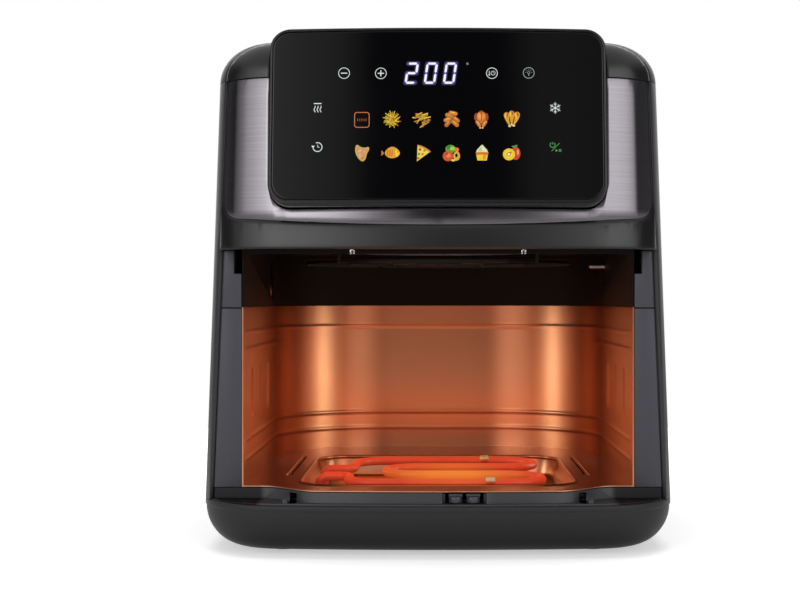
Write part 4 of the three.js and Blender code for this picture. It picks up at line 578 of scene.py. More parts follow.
fascia = {"halfWidth": 144.2, "bottomZ": 219, "smile": 4.5, "topZ": 316.3, "corner": 12, "bowSteps": 40,
          "sideSteps": 8, "cornerSteps": 12}
panel = {"halfWidth": 111, "height": 119.8, "origin": (0, -169, 231), "lean": 6.7, "corner": 14, "crown": 1.4,
         "depth": 11.5, "side": 2.0, "top": 2.2, "bottom": 3.6, "sunk": 0.4, "glass": 3.0, "bed": 0.3, "gap": 0.8,
         "crownSteps": 24, "cornerSteps": 12}
panelMatrix = (Matrix.Translation(Vector(panel["origin"]) * mm)
               @ Matrix.Rotation(quarter - math.radians(panel["lean"]), 4, "X"))


def fasciaOutline(grow, topGrow):
    s = fascia
    x, topZ, corner = s["halfWidth"] + grow, s["topZ"] + topGrow, s["corner"]
    cornerZ = s["bottomZ"] + s["smile"] - grow
    lowHalf, sideZ = x - corner, cornerZ + corner
    bow = (lowHalf ** 2 + s["smile"] ** 2) / (2 * s["smile"])
    topX = x - (s["topZ"] - s["bottomZ"]) * housing["draft"]
    side = list(zip(between(x, topX, s["sideSteps"]), between(sideZ, topZ, s["sideSteps"])))
    points = [(across, cornerZ - (math.sqrt(bow ** 2 - across ** 2) - (bow - s["smile"])))
              for across in between(-lowHalf, lowHalf, s["bowSteps"])]
    points += arcPoints(lowHalf, sideZ, corner, -quarter, 0, s["cornerSteps"])[1:] + side[1:]
    points += [(across, topZ) for across in between(topX, -topX, s["bowSteps"])[1:]]
    points += [(-across, z) for across, z in side[-2::-1]]
    return points + arcPoints(-lowHalf, sideZ, corner, math.pi, 1.5 * math.pi, s["cornerSteps"])[1:-1]


def panelOutline(side, top, bottom, corner):
    s = panel
    x, high = s["halfWidth"] - side, s["height"] - s["crown"] - top
    bow = (x ** 2 + s["crown"] ** 2) / (2 * s["crown"])
    half, y0, y1, steps = x - corner, bottom + corner, high - corner, s["cornerSteps"]
    points = arcPoints(half, y0, corner, -quarter, 0, steps) + arcPoints(half, y1, corner, 0, quarter, steps)[:-1]
    points += [(across, high + math.sqrt(bow ** 2 - across ** 2) - math.sqrt(bow ** 2 - half ** 2))
               for across in between(half, -half, s["crownSteps"])]
    points += arcPoints(-half, y1, corner, quarter, 2 * quarter, steps)[1:]
    return points + arcPoints(-half, y0, corner, 2 * quarter, 3 * quarter, steps)


def panelRing(inset, w, side=0.0, top=0.0, bottom=0.0):
    corner = max(panel["corner"] - inset - side, 1.0)
    outline = panelOutline(inset + side, inset + top, inset + bottom, corner)
    return [tuple(panelMatrix @ Vector((x * mm, v * mm, w * mm)) / mm) for x, v in outline]


def panelCutter():
    return sheetThrough("panelCutter", [panelRing(-panel["gap"], w) for w in (-40, 30)], capped=True)


frontFrame = {"foot": [(203, 0.5), (203.3, 0.12), (204.2, 0)], "fromZ": 206, "wall": 3, "gap": 0.3, "chamfer": 3.2,
              "topChamfer": 0.5, "seat": 1.2, "proud": 0.05, "edge": 0.35}


def makeFrontMoulding():
    s = frontFrame
    moulding = sheetThrough("frontMoulding", [wallRing(*step) for step in s["foot"]] + bodyRings(s["fromZ"]))
    cutAtY(moulding, housing["jambPlane"] - shell["halfGap"], 1)
    thicken(moulding, s["wall"])
    opening, chamfer = fasciaOutline(s["gap"], s["gap"]), fasciaOutline(s["chamfer"], s["topChamfer"])
    carve(moulding, sheetThrough("fasciaCutter", [
        [(x, -100, z) for x, z in opening],
        [(x, frontYAt(x, z, s["seat"]), z) for x, z in opening],
        [(x, frontYAt(x, z, -s["proud"]), z) for x, z in chamfer],
        [(x, -200, z) for x, z in chamfer]], capped=True))
    carve(moulding, panelCutter())
    roundEdges(moulding, s["edge"], angle=35)
    finishPiece(moulding, frontPlastic, "front_moulding", nodes=["front_frame"], smoothAngle=30)


fasciaSheet = {"levels": (214, 230, 250, 270, 290, 305, 317), "inset": 1.2, "sheet": 1.0, "sideGap": 0.5, "edge": 0.3}


def makeFasciaPlate():
    s = fasciaSheet
    plate = sheetThrough("fasciaPlate", [wallRing(z, s["inset"]) for z in s["levels"]])
    cutAtY(plate, housing["jambPlane"] + s["sideGap"], 1)
    thicken(plate, s["sheet"])
    rows = [[(x, y, z) for x, z in fasciaOutline(0, 0)] for y in (-100, -200)]
    carve(plate, sheetThrough("plateCutter", rows, capped=True), "INTERSECT")
    carve(plate, panelCutter())
    roundEdges(plate, s["edge"], angle=50)
    brushing = plate.data.uv_layers.get("brushing") or plate.data.uv_layers.new(name="brushing")
    for loop in plate.data.loops:
        place = plate.data.vertices[loop.vertex_index].co
        brushing.data[loop.index].uv = (place.z * 3, place.x * 3)  # u runs across the hairlines
    finishPiece(plate, fasciaSteel, "fascia", nodes=["fascia_plate"], smoothAngle=30)


panelRim = {key: panel[key] for key in ("side", "top", "bottom")}


def makeBezel():  # its section is (inset, height over the face)
    depth, bed = panel["depth"], -panel["sunk"] - panel["glass"] - panel["bed"]
    outside = [(0.9, -depth), (0.2, -depth + 0.3), (0, -depth + 1), (0, -1.8), (0.12, -1.0), (0.45, -0.4),
               (0.95, -0.08), (1.4, 0)]
    inside = [(-0.35, 0), (-0.1, -0.1), (0, -0.35), (0, bed), (4, bed), (4, -depth + 1.8)]
    rings = [panelRing(*step) for step in outside] + [panelRing(*step, **panelRim) for step in inside]
    bezel = sheetThrough("panelBezel", rings, capped=True)
    finishPiece(bezel, bezelPlastic, "bezel", nodes=["panel_bezel"], smoothAngle=45)


def makeGlass():
    face = -panel["sunk"]
    steps = [(0.3, face - panel["glass"]), (0.3, face - 0.45), (0.4, face - 0.15), (0.7, face), (1.1, face)]
    glass = sheetThrough("panelGlass", [panelRing(*step, **panelRim) for step in steps], capped=True)
    finishPiece(glass, blackGlass, "panel_glass", nodes=["panel_glass"], smoothAngle=50)


makeFrontMoulding()
makeFasciaPlate()
makeBezel()
makeGlass()
print("head ready")


# Print and lights behind the glass: keys, a seven-segment reading and twelve food symbols

ink = {"lift": 0.03, "layer": 0.005, "symbolSize": 0.95, "key": "#dfe9e5", "dim": "#98a5a0", "green": "#3fa044"}


def inkLight():  # translucent inks lit from behind: each shape's own colour is in its "ink" attribute
    n = startFinish("backlitScreenInk", "#101010", 0.3)
    own = n.add("VertexColor", {"layer_name": "ink"}).outputs["Color"]
    return n.shade({"Emission Color": own, "Emission Strength": n.ramp(n.noise(700.0), 0.8, 1.15)})


def inkShape(outlines, colour, layer):  # one flat shape in the panel's plane
    piece = flatOutlines("ink", outlines)
    for vertex in piece.data.vertices:
        vertex.co.z = (ink["lift"] + ink["layer"] * layer - panel["sunk"]) * mm
    paint = piece.data.color_attributes.new("ink", "FLOAT_COLOR", "POINT")
    for place in paint.data:
        place.color = srgb(colour)
    return piece


def oval(x, v, halfX, halfV=None, turn=0.0, steps=20):
    points = arcPoints(0, 0, 1, 0, 2 * math.pi, steps)[:-1]
    c, s = math.cos(math.radians(turn)), math.sin(math.radians(turn))
    halfV = halfX if halfV is None else halfV
    return [(x + a * halfX * c - b * halfV * s, v + a * halfX * s + b * halfV * c) for a, b in points]


def stick(x0, v0, x1, v1, width, pointed=False):  # a bar with round or pointed ends
    turn, half = math.atan2(v1 - v0, x1 - x0), width / 2
    if pointed:
        a, b = math.cos(turn) * half, math.sin(turn) * half
        return [(x0, v0), (x0 + a + b, v0 + b - a), (x1 - a + b, v1 - b - a), (x1, v1),
                (x1 - a - b, v1 - b + a), (x0 + a - b, v0 + b + a)]
    return (arcPoints(x1, v1, half, turn - quarter, turn + quarter, 5)
            + arcPoints(x0, v0, half, turn + quarter, turn + 3 * quarter, 5))


def ribbon(points, width):  # a stroke of even width along open points
    left, right = [], []
    for i, (x, v) in enumerate(points):
        before, after = points[max(i - 1, 0)], points[min(i + 1, len(points) - 1)]
        turn = math.atan2(after[1] - before[1], after[0] - before[0])
        left.append((x - math.sin(turn) * width / 2, v + math.cos(turn) * width / 2))
        right.append((x + math.sin(turn) * width / 2, v - math.cos(turn) * width / 2))
    return left + right[::-1]


def rounded(points, rounds=2):  # smooths a closed outline by cutting its corners
    for step in range(rounds):
        ends = list(zip(points, points[1:] + points[:1]))
        points = [(x * share + nextX * (1 - share), v * share + nextV * (1 - share))
                  for (x, v), (nextX, nextV) in ends for share in (0.75, 0.25)]
    return points


def moved(outlines, x, v, size):
    return [[(a * size + x, b * size + v) for a, b in outline] for outline in outlines]


# each key is (x, v, colour, shapes about its own centre), and a shape is an outline with any holes
def keySymbols():
    ring = [oval(0, 0, 4.0, steps=36), oval(0, 0, 3.56, steps=36)]
    power = arcPoints(-1.75, 1.5, 1.75, math.radians(120), math.radians(420), 18)
    arrow = arcPoints(0, 0, 3.1, math.radians(112), math.radians(-165), 26)
    waves = [[ribbon([(x + 0.42 * math.sin(0.4 + i * 0.75), 1.6 - 0.46 * i) for i in range(11)], 0.5)]
             for x in (-2.05, 0, 2.05)]
    flake = []
    for i in range(6):
        c, s = math.cos(math.radians(90 + 60 * i)), math.sin(math.radians(90 + 60 * i))
        flake += [[stick(0, 0, 3.8 * c, 3.8 * s, 0.46)]]
        flake += [[stick(2.0 * c, 2.0 * s, 3.0 * c - side * s, 3.0 * s + side * c, 0.36)] for side in (-1, 1)]
    rays = []
    for degrees in (0, 45, 90, 135, 180):
        c, s = math.cos(math.radians(degrees)), math.sin(math.radians(degrees))
        rays.append([stick(1.6 * c, 0.3 + 1.6 * s, 2.35 * c, 0.3 + 2.35 * s, 0.2)])
    across, upright = [stick(-1.9, 0, 1.9, 0, 0.68)], [stick(0, -1.9, 0, 1.9, 0.68)]
    return {
        "minus": (-61.8, 88.3, ink["key"], [ring, across]),
        "plus": (-37.6, 88.2, ink["key"], [ring, across, upright]),
        "timeAndHeat": (35.5, 88.3, ink["key"], [
            ring, [stick(-1.85, -1.1, -1.85, 1.5, 0.4)], [oval(-1.85, -1.2, 0.5)],
            [oval(0.8, 0.05, 1.6), oval(0.8, 0.05, 1.28)], [stick(0.8, 0.05, 0.8, 0.85, 0.22)],
            [stick(0.8, 0.05, 1.35, 0.05, 0.22)]]),
        "lamp": (59.7, 88.5, ink["dim"], [
            ring, [oval(0, 0.15, 0.95), oval(0, 0.15, 0.7)], [stick(0, -1.15, 0, -1.8, 0.55)]] + rays),
        "topHeat": (-79.0, 64.8, ink["key"], [[stick(-2.4, 3.2, 2.4, 3.2, 0.65)]] + waves),
        "timer": (-78.8, 38.7, ink["key"], [
            [ribbon(arrow, 0.55)], [[(-4.3, 0.9), (-1.9, 0.9), (-3.1, -0.8)]],
            [stick(0.1, -0.1, 0.1, 1.5, 0.36)], [stick(0.1, -0.1, 1.2, -0.1, 0.36)]]),
        "defrost": (76.9, 64.9, ink["key"], flake),
        "start": (76.6, 38.7, ink["green"], [
            [ribbon(power, 0.5)], [stick(-1.75, 1.9, -1.75, 3.3, 0.45)], [stick(-2.4, -2.7, 3.0, 2.7, 0.4)],
            [[(0.3, -3.4), (0.3, -1.4), (2.0, -2.4)]], [stick(2.9, -3.1, 2.9, -1.6, 0.55)],
            [stick(3.9, -3.1, 3.9, -1.6, 0.55)]]),
        "degree": (19.4, 94.7, ink["dim"], [[oval(0, 0, 0.75), oval(0, 0, 0.4)]]),
    }


def blob(colour, *numbers):
    return [oval(*numbers)], colour


def bar(colour, *numbers):
    return [stick(*numbers)], colour


def patch(colour, points, rounds=2):
    return [rounded(points, rounds)], colour


# sticks laid over each other, each turned by turn + swing * chance - lean * v
def strewn(count, length, width, spread, tones, shadow, turn, swing, lean, seed):
    dice = random.Random(seed)
    shapes = []
    for i in range(count):
        roll = [dice.uniform(-1, 1) for k in range(4)]
        away = spread * math.sqrt(abs(roll[0]))
        x, v = away * math.cos(roll[1] * math.pi), away * math.sin(roll[1] * math.pi)
        heading, reach = turn + swing * roll[2] - lean * v, length * (0.42 + 0.1 * roll[3])
        c, s = math.cos(heading) * reach, math.sin(heading) * reach
        ends = (x - c, v - s, x + c, v + s)
        shapes += [bar(shadow, *ends, width + 0.4), bar(tones[i % len(tones)], *ends, width)]
    return shapes


def browned(x0, v0, x1, v1, width, tone, light):  # one fried piece: dark rim, body and a lit crest
    crest = (x0 * 0.8 + x1 * 0.2, v0 * 0.8 + v1 * 0.2 + 0.5, x0 * 0.2 + x1 * 0.8, v0 * 0.2 + v1 * 0.8 + 0.5)
    return [bar("#562a06", x0, v0, x1, v1, width + 0.6), bar(tone, x0, v0, x1, v1, width),
            bar(light, *crest, width * 0.3)]


# each food is (x, v, shapes), and a shape is (outlines, colour)
def foodSymbols():
    box = roundedRectangle(-5.3, 5.3, -5.5, 5.5, 1.9, 6)
    inner = roundedRectangle(-4.75, 4.75, -4.95, 4.95, 1.5, 6)
    grill = [([box, inner], "#c4702e")] + [bar("#a8481a", x, -0.7, x, 0.7, 0.45) for x in (-2.9, -1.45, 0, 1.45, 2.9)]
    yellows = ["#ffe628", "#d8a010", "#f4cc14", "#b47c06", "#fff04a"]
    ball = []
    for i in range(34):
        near, far, turn = 1.4 + 0.8 * math.sin(i * 5.1), 5.3 + 0.9 * math.sin(i * 3.7), math.radians(i * 137.5)
        ball.append(bar(yellows[i % 5], near * math.cos(turn), near * math.sin(turn), far * math.cos(turn + 0.2),
                        far * math.sin(turn + 0.2), 0.36))
    ball += strewn(13, 4.2, 0.5, 2.7, yellows, "#7a5404", 0, 3.1, 0, 3)
    golds = ["#e8b41c", "#c88a10", "#f0cc30", "#dca018", "#b47a0e"]
    fries = strewn(22, 5.0, 0.74, 4.3, golds, "#4a2e04", 0.75, 0.75, 0.06, 12)
    nuggets = []
    for *numbers, tone, light in (
            (-3.4, -3.9, -1.2, -1.2, 2.7, "#b8640f", "#e09a34"), (3.8, -3.9, 1.0, -1.4, 2.7, "#c87414", "#ecac44"),
            (-4.0, -0.6, -1.0, 0.8, 2.6, "#d08020", "#f0b450"), (4.4, -1.0, 1.8, 1.2, 2.6, "#c06c12", "#e8a63e"),
            (-2.9, 3.2, 0.4, 2.4, 2.7, "#c47216", "#eaa63e"), (-0.6, 4.7, 2.9, 4.0, 2.6, "#d07e1e", "#f2b852")):
        nuggets += browned(*numbers, tone, light)
    roast = [blob("#94420c", x, 2.0, 1.2, 2.6, turn) for x, turn in ((-3.7, -10), (3.7, 10))]
    roast += [blob("#6c2c06", 0, 1.2, 3.7, 4.7), blob("#cc6a1c", 0, 1.4, 3.3, 4.3),
              blob("#ea9c3c", -1.3, 2.2, 1.2, 2.4, 8), blob("#e08c2c", 1.4, 2.0, 1.0, 2.2, -8),
              bar("#84380a", 0, 5.0, 0, -0.6, 0.35), blob("#8e3c0a", 0, 5.6, 1.1, 0.7)]
    for side in (-1, 1):
        roast += browned(side * 3.0, -1.6, side * 1.3, -4.3, 2.1, "#d07820", "#f2b04c")
        roast.append(blob("#ecc88a", side * 0.8, -5.9, 0.6))
    legs = []
    for x, lean, top in ((-3.4, -14, 3.9), (0.1, 0, 5.0), (3.8, 16, 4.2)):
        endX, endV = x + math.sin(math.radians(lean)) * -8.4, top - 8.8
        legs += [patch("#d99c1c", [(x - 2.1, top), (x, top + 1.6), (x + 2.2, top), (x + 1.5, top - 3.4),
                                   (endX + 0.55, endV + 0.6), (endX - 0.55, endV + 0.6), (x - 1.5, top - 3.0)]),
                 blob("#b85c14", x + 0.3, top - 0.6, 1.0, 1.7, lean),
                 blob("#f0c840", x - 0.7, top - 1.2, 0.5, 1.6, lean), blob("#e8cc88", endX, endV + 0.2, 0.95, 0.7)]
    steak = [patch("#c8a838", [(-4.8, 4.6), (-3.4, 6.2), (-1.4, 4.4), (1.6, 3.6), (4.6, 4.6), (5.0, 2.6),
                               (3.2, -0.6), (2.4, -4.6), (0.2, -6.2), (-2.4, -4.2), (-4.8, 0)]),
             patch("#c99068", [(-4.0, 4.0), (-3.2, 5.0), (-1.2, 3.6), (1.8, 2.8), (4.0, 3.4), (4.0, 2.2),
                               (2.4, -0.8), (1.6, -4.2), (0.2, -5.2), (-1.8, -3.6), (-4.0, 0.2)]),
             blob("#d8ab84", -1.6, 1.6, 1.5, 0.8, 30), blob("#e09a3a", 1.4, 1.0, 1.3, 0.9, -30),
             blob("#dca070", -1.4, -1.6, 1.0, 1.5, 20), blob("#c8782e", 0.4, -3.4, 0.8, 1.0)]
    fish = [patch("#b8741a", [(-4.6, 0), (-6.9, 2.2), (-6.7, 0), (-6.9, -2.2)], 1),
            patch("#e0981e", [(-4.8, 0.2), (-2.4, 3.4), (1.0, 4.8), (4.4, 3.0), (6.4, 0), (4.6, -2.8), (0, -3.9),
                              (-3.4, -2.4)]),
            patch("#f0c828", [(2.6, 2.6), (4.6, 2.2), (6.0, 0), (4.4, -2.2), (2.8, -2.4)])]
    fish += [bar("#b0601a", x, -1.9, x + 0.5, 2.0, 0.6) for x in (-2.8, -1.2, 0.4)]
    fish.append(blob("#3a1c08", 4.5, 0.9, 0.4))
    pizza = [patch("#e8cf4a", [(-4.4, 5.8), (4.2, 0.9), (-4.8, -5.8)], 0),
             patch("#c8862c", [(-4.5, 6.0), (-0.6, 4.9), (4.8, 1.4), (4.2, 0.2), (-0.9, 3.7), (-4.6, 4.9)], 1),
             blob("#b4401c", -2.7, 2.6, 0.95), blob("#c85a1e", 0.4, 1.8, 0.8), blob("#4c9a3c", -3.4, -0.6, 0.9),
             blob("#c8641e", -1.0, -0.8, 0.8), blob("#a8441a", -3.9, -3.6, 0.8)]
    greens = [blob("#4f9c2c", -0.6, 2.9, 3.6, 2.9), blob("#2f7c28", -1.9, 4.1, 1.5, 1.2),
              blob("#a8c83a", 0.6, 3.2, 1.7, 1.3), blob("#e8741c", 3.7, 2.4, 1.5),
              ([oval(3.6, -2.0, 2.3, 3.3), oval(3.4, -1.6, 0.9, 1.3)], "#d8a828"),
              blob("#dccc3c", 1.2, -5.0, 1.6, 0.8), blob("#cc4a1e", -2.4, -2.1, 3.6),
              blob("#e88240", -2.1, -1.7, 1.5), blob("#a83416", -3.4, -0.6, 0.9)]
    cake = [patch("#dfe4b4", [(-4.0, 0.6), (4.0, 0.6), (3.4, 2.4), (1.2, 4.8), (0.1, 6.0), (-1.2, 4.8),
                              (-3.6, 2.2)], 0),
            patch("#bcc888", [(-3.2, 1.4), (0, 1.4), (-0.4, 4.6), (-2.0, 3.2)], 0),
            patch("#d8801c", [(-4.6, 0.9), (4.8, 0.9), (4.0, -1.2), (-4.0, -1.2)], 1),
            patch("#f0c81c", [(-4.0, -1.1), (4.0, -1.1), (3.2, -5.2), (-3.2, -5.2)], 0),
            patch("#d8941c", [(0.6, -1.1), (2.8, -1.1), (2.4, -4.6), (0.8, -4.6)], 0),
            bar("#b85a10", -3.2, -0.5, 3.2, -0.5, 0.5)]
    fruit = [blob("#c83c1c", 2.7, -0.2, 3.3, 4.6), blob("#e89a70", 4.2, 0.6, 0.7, 2.2),
             blob("#ecc41c", -1.9, -0.9, 4.2), blob("#f8dc3c", -1.9, -0.9, 2.3), blob("#8a6210", -2.1, -0.9, 1.5),
             blob("#fff2d0", -2.1, -0.9, 0.9), blob("#b8801a", -0.9, 0.4, 1.0, 0.6),
             blob("#3f8c3c", 2.6, 4.9, 1.6, 0.7, 20), blob("#5aa84c", 0.9, 4.6, 0.9, 0.4, -20)]
    top, low = 57.2, 34.7
    return [(-49.9, 56.9, grill), (-30.2, top, ball), (-10.7, top, fries), (8.8, top, nuggets), (28.4, top, roast),
            (48.2, top, legs), (-49.6, low, steak), (-30.6, low, fish), (-9.2, low, pizza), (8.8, low, greens),
            (28.8, low, cake), (48.2, low, fruit)]


digit = {"width": 7.6, "height": 14.4, "stroke": 1.5, "slant": math.tan(math.radians(8)), "pitch": 12.6,
         "firstX": -17.3, "baseV": 81.1, "gap": 0.28}
segmentsOf = {"2": "abged", "0": "abcdef"}
# rings of painted glow round each lit segment, fading outwards
halos = [(0.95, "#080616"), (0.5, "#1c1650"), (0.2, "#4438a8"), (0.0, "#f6f4ff")]


def segmentBar(letter, grow):  # grow widens it for the glow round the lit bar
    s = digit
    low, middle = s["stroke"] / 2, s["height"] / 2
    half, full = s["width"] / 2 - low, s["height"] - low
    x0, v0, x1, v1 = {
        "a": (-half, full, half, full), "g": (-half, middle, half, middle), "d": (-half, low, half, low),
        "f": (-half, middle, -half, full), "b": (half, middle, half, full), "e": (-half, low, -half, middle),
        "c": (half, low, half, middle)}[letter]
    if grow:
        outline = stick(x0, v0, x1, v1, s["stroke"] + 2 * grow)
    else:
        size = math.hypot(x1 - x0, v1 - v0)
        gapX, gapV = (x1 - x0) / size * s["gap"], (v1 - v0) / size * s["gap"]
        outline = stick(x0 + 0.5 * gapX, v0 + gapV, x1 - gapX, v1 - gapV, s["stroke"], True)
    return [(x + (v - middle) * s["slant"], v) for x, v in outline]


def makePanelPrint():
    symbols = [(x, v, [(outlines, colour) for outlines in shapes]) for x, v, colour, shapes in keySymbols().values()]
    pieces = []
    for x, v, parts in symbols + foodSymbols():
        for layer, (outlines, colour) in enumerate(parts):
            pieces.append(inkShape(moved(outlines, x, v, ink["symbolSize"]), colour, layer))
    for place, figure in enumerate("200"):
        x = digit["firstX"] + digit["pitch"] * place
        for layer, (grow, colour) in enumerate(halos):
            for i, letter in enumerate(segmentsOf[figure]):
                bars = moved([segmentBar(letter, grow)], x, digit["baseV"], 1.0)
                pieces.append(inkShape(bars, colour, 3 * layer + 0.3 * i))
    inks = joinPieces("panelPrint", pieces)
    inks.matrix_world = panelMatrix
    finishPiece(inks, inkLight(), "panel_glass")


makePanelPrint()
print("panel print ready")


# Cavity: pressed liner with ribs and embosses, floor, pan and elements

ribs = {"levels": [60.5, 74, 135.5, 147], "roundRear": [60.5, 74, 147], "rise": 0.8, "half": 2.1, "start": 7,
        "fade": 9, "softAbove": 140, "soft": 0.5, "cornerFade": 4}
emboss = {"bottomZ": 86, "topZ": 123, "width": 11, "rise": 1.1, "edge": 2.6, "places": [-88, -41.5, 5]}
sill = {"reach": 25.5, "swingStart": 118, "swingEnd": 80, "bow": 1200}


def eased(share):  # 0 to 1 with a soft start and end
    share = min(max(share, 0), 1)
    return share * share * (3 - 2 * share)


def sillY(x):
    s = sill
    swing = eased((s["swingStart"] - abs(x)) / (s["swingStart"] - s["swingEnd"]))
    inner = min(abs(x), s["swingEnd"])
    return housing["jambPlane"] - s["reach"] * swing - (s["swingEnd"] ** 2 - inner ** 2) / (2 * s["bow"])


def cavityPath():  # (x, y, inward x, inward y, share of the rear corner)
    s = cavity
    flatX, cornerY = s["halfWidth"] - s["cornerRun"], s["rearY"] - s["cornerDepth"]
    right = [(s["halfWidth"], y, -1, 0, 0) for y in between(s["frontY"], cornerY, s["sideSteps"])[:-1]]
    for turn in between(0, quarter, s["cornerSteps"]):
        nx, ny = math.cos(turn) / s["cornerRun"], math.sin(turn) / s["cornerDepth"]
        size = math.hypot(nx, ny)
        right.append((flatX + s["cornerRun"] * math.cos(turn), cornerY + s["cornerDepth"] * math.sin(turn),
                      -nx / size, -ny / size, turn / quarter))
    rear = [(x, s["rearY"], 0, -1, 1) for x in between(flatX, -flatX, s["rearSteps"])[1:-1]]
    return right + rear + [(-x, y, -nx, ny, share) for x, y, nx, ny, share in right[::-1]]


def bump(distance, half):  # a soft pressed rib across its width
    share = min(abs(distance) / half, 1)
    return 0.5 + 0.5 * math.cos(math.pi * share)


def reliefAt(y, z, corner):
    s, rise = ribs, 0
    for level in s["levels"]:
        strength = 1.0 if level in s["roundRear"] else max(0.0, 1 - corner * s["cornerFade"])
        strength *= s["soft"] if level > s["softAbove"] else 1.0
        ends = min(1.0, max(0.0, (y - cavity["frontY"] - s["start"]) / s["fade"]))
        rise = max(rise, s["rise"] * strength * ends * bump(z - level, s["half"]))
    if corner == 0:
        half = emboss["width"] / 2
        low, high = emboss["bottomZ"] + half, emboss["topZ"] - half
        for place in emboss["places"]:
            away = math.hypot(y - place, z - min(max(z, low), high))
            rise = max(rise, emboss["rise"] * eased((half - away) / emboss["edge"]))
    return rise


def makeLinerWalls():
    s = cavity
    heights = [s["floorZ"] - s["footDrop"]]
    while heights[-1] < s["topZ"] - s["rowStep"]:
        heights.append(heights[-1] + s["rowStep"])
    rows = []
    for z in heights + [s["topZ"]]:
        rises = [(x, y, nx, ny, reliefAt(y, z, corner)) for x, y, nx, ny, corner in cavityPath()]
        rows.append([(x + nx * rise, y + ny * rise, z) for x, y, nx, ny, rise in rises])
    walls = sheetThrough("linerWalls", rows, closed=False)
    thicken(walls, s["sheet"], 1 if walls.data.polygons[10].normal.x > 0 else -1)
    return walls


recess = {"halfWidth": 94, "frontY": -134, "rearY": 49, "corner": 24,
          "rolledEdge": [(0.2, -0.1), (0.0, 0.35), (1.2, 0.8), (2.6, 0.35), (3.4, -0.05)]}
floorPlate = {"tuck": 0.6, "lip": 0.9, "edge": 0.3, "frontSteps": 80}
floorSlot = {"x": 105.5, "frontY": -73, "rearY": 45, "width": 3.4, "hole": 9, "slit": 1.9, "rail": 0.7,
             "railGap": 1.0, "railLift": 0.1, "railSteps": 40}


def recessRing(grow, z):
    s = recess
    outline = roundedRectangle(-s["halfWidth"] - grow, s["halfWidth"] + grow, s["frontY"] - grow, s["rearY"] + grow,
                               s["corner"] + grow)
    return [(x, y, z) for x, y in outline]


def makeLinerFloor():
    s, slot, tuck = cavity, floorSlot, floorPlate["tuck"]
    halfX = s["halfWidth"] + tuck
    front = [(x, sillY(x) + floorPlate["lip"]) for x in between(-halfX, halfX, floorPlate["frontSteps"])]
    rear = [(x - nx * tuck, y - ny * tuck) for x, y, nx, ny, corner in cavityPath()[1:-1]]
    hole = [(x, y) for x, y, z in recessRing(0, 0)]
    half, thin, mouth = slot["width"] / 2, slot["slit"] / 2, slot["frontY"] + slot["hole"]
    keyhole = [(-half, slot["frontY"]), (half, slot["frontY"]), (half, mouth), (thin, mouth), (thin, slot["rearY"]),
               (-thin, slot["rearY"]), (-thin, mouth), (-half, mouth)]
    slots = [[(side * slot["x"] + x, y) for x, y in keyhole] for side in (-1, 1)]
    plate = flatOutlines("linerFloor", [front + rear, hole] + slots, s["sheet"], floorPlate["edge"])
    plate.location.z = (s["floorZ"] - s["sheet"] / 2) * mm
    makeActive(plate)
    bpy.ops.object.transform_apply(location=True, rotation=True, scale=True)
    rolled = [recessRing(grow, s["floorZ"] + rise) for grow, rise in recess["rolledEdge"]]
    pieces = [plate, sheetThrough("recessBead", rolled)]
    for side in (-1, 1):  # a raised louvre beside each slot
        x, z = side * (slot["x"] + slot["width"] / 2 + slot["railGap"]), s["floorZ"] + slot["railLift"]
        line = [(x, y, z) for y in between(slot["frontY"], slot["rearY"], slot["railSteps"])]
        pieces.append(tubeThrough("railBead", line, slot["rail"]))
    return joinPieces("linerFloor", pieces)


def makeLiner():
    liner = joinPieces("cavityLiner", [makeLinerWalls(), makeLinerFloor()])
    finishPiece(liner, cavitySteel, "liner", nodes=["cavity_liner"], smoothAngle=50)


panSection = {"drop": 1.3, "hole": 3.85, "under": [(-23.5, 28), (-7, 28), (-3.4, 29.2), (-2, 31.4), (1.6, 41)],
              "inside": [(-2.6, 32), (-3.2, 30.3), (-4.4, 29.3), (-6.2, 29), (-23.5, 29)]}


def makePan():  # its section is (distance outside the recess, z)
    s, top = panSection, cavity["floorZ"] - panSection["drop"]
    flange = [(8, top - 1), (8, top), (1.6, top), (0.4, top - 0.3), (-0.2, top - 1.2)]
    rings = [recessRing(grow, z) for grow, z in s["under"] + flange + s["inside"]]
    pan = sheetThrough("elementPan", rings, capped=True)
    for y in element["dropY"]:
        drill(pan, (element["dropX"], y, 30), s["hole"], 20, 32)
    finishPiece(pan, cavitySteel, "liner", nodes=["element_pan"], smoothAngle=50)


element = {"radius": 3.25, "runZ": 43.5, "runY": [-116, -70, -24, 20], "rightX": 73, "innerLeftX": -38,
           "outerLeftX": -62.6, "dropX": -84.5, "dropY": [-76.5, -33.5], "dropBend": 6, "endZ": 21.7, "bend": 22.9,
           "bendSteps": 14, "dropSteps": 8}


def filletPath(corners, radius, steps):  # the rounded corners of an open path, without its two ends
    places, points = [Vector(corner) for corner in corners], []
    for before, here, after in zip(places, places[1:], places[2:]):
        back, on = before - here, after - here
        bend = min(radius, min(back.length, on.length) * 0.499)
        start, end = here + back.normalized() * bend, here + on.normalized() * bend
        centre = start + end - here
        points += [centre + (start - centre) * math.cos(turn) + (end - centre) * math.sin(turn)
                   for turn in between(0, quarter, steps)]
    return points


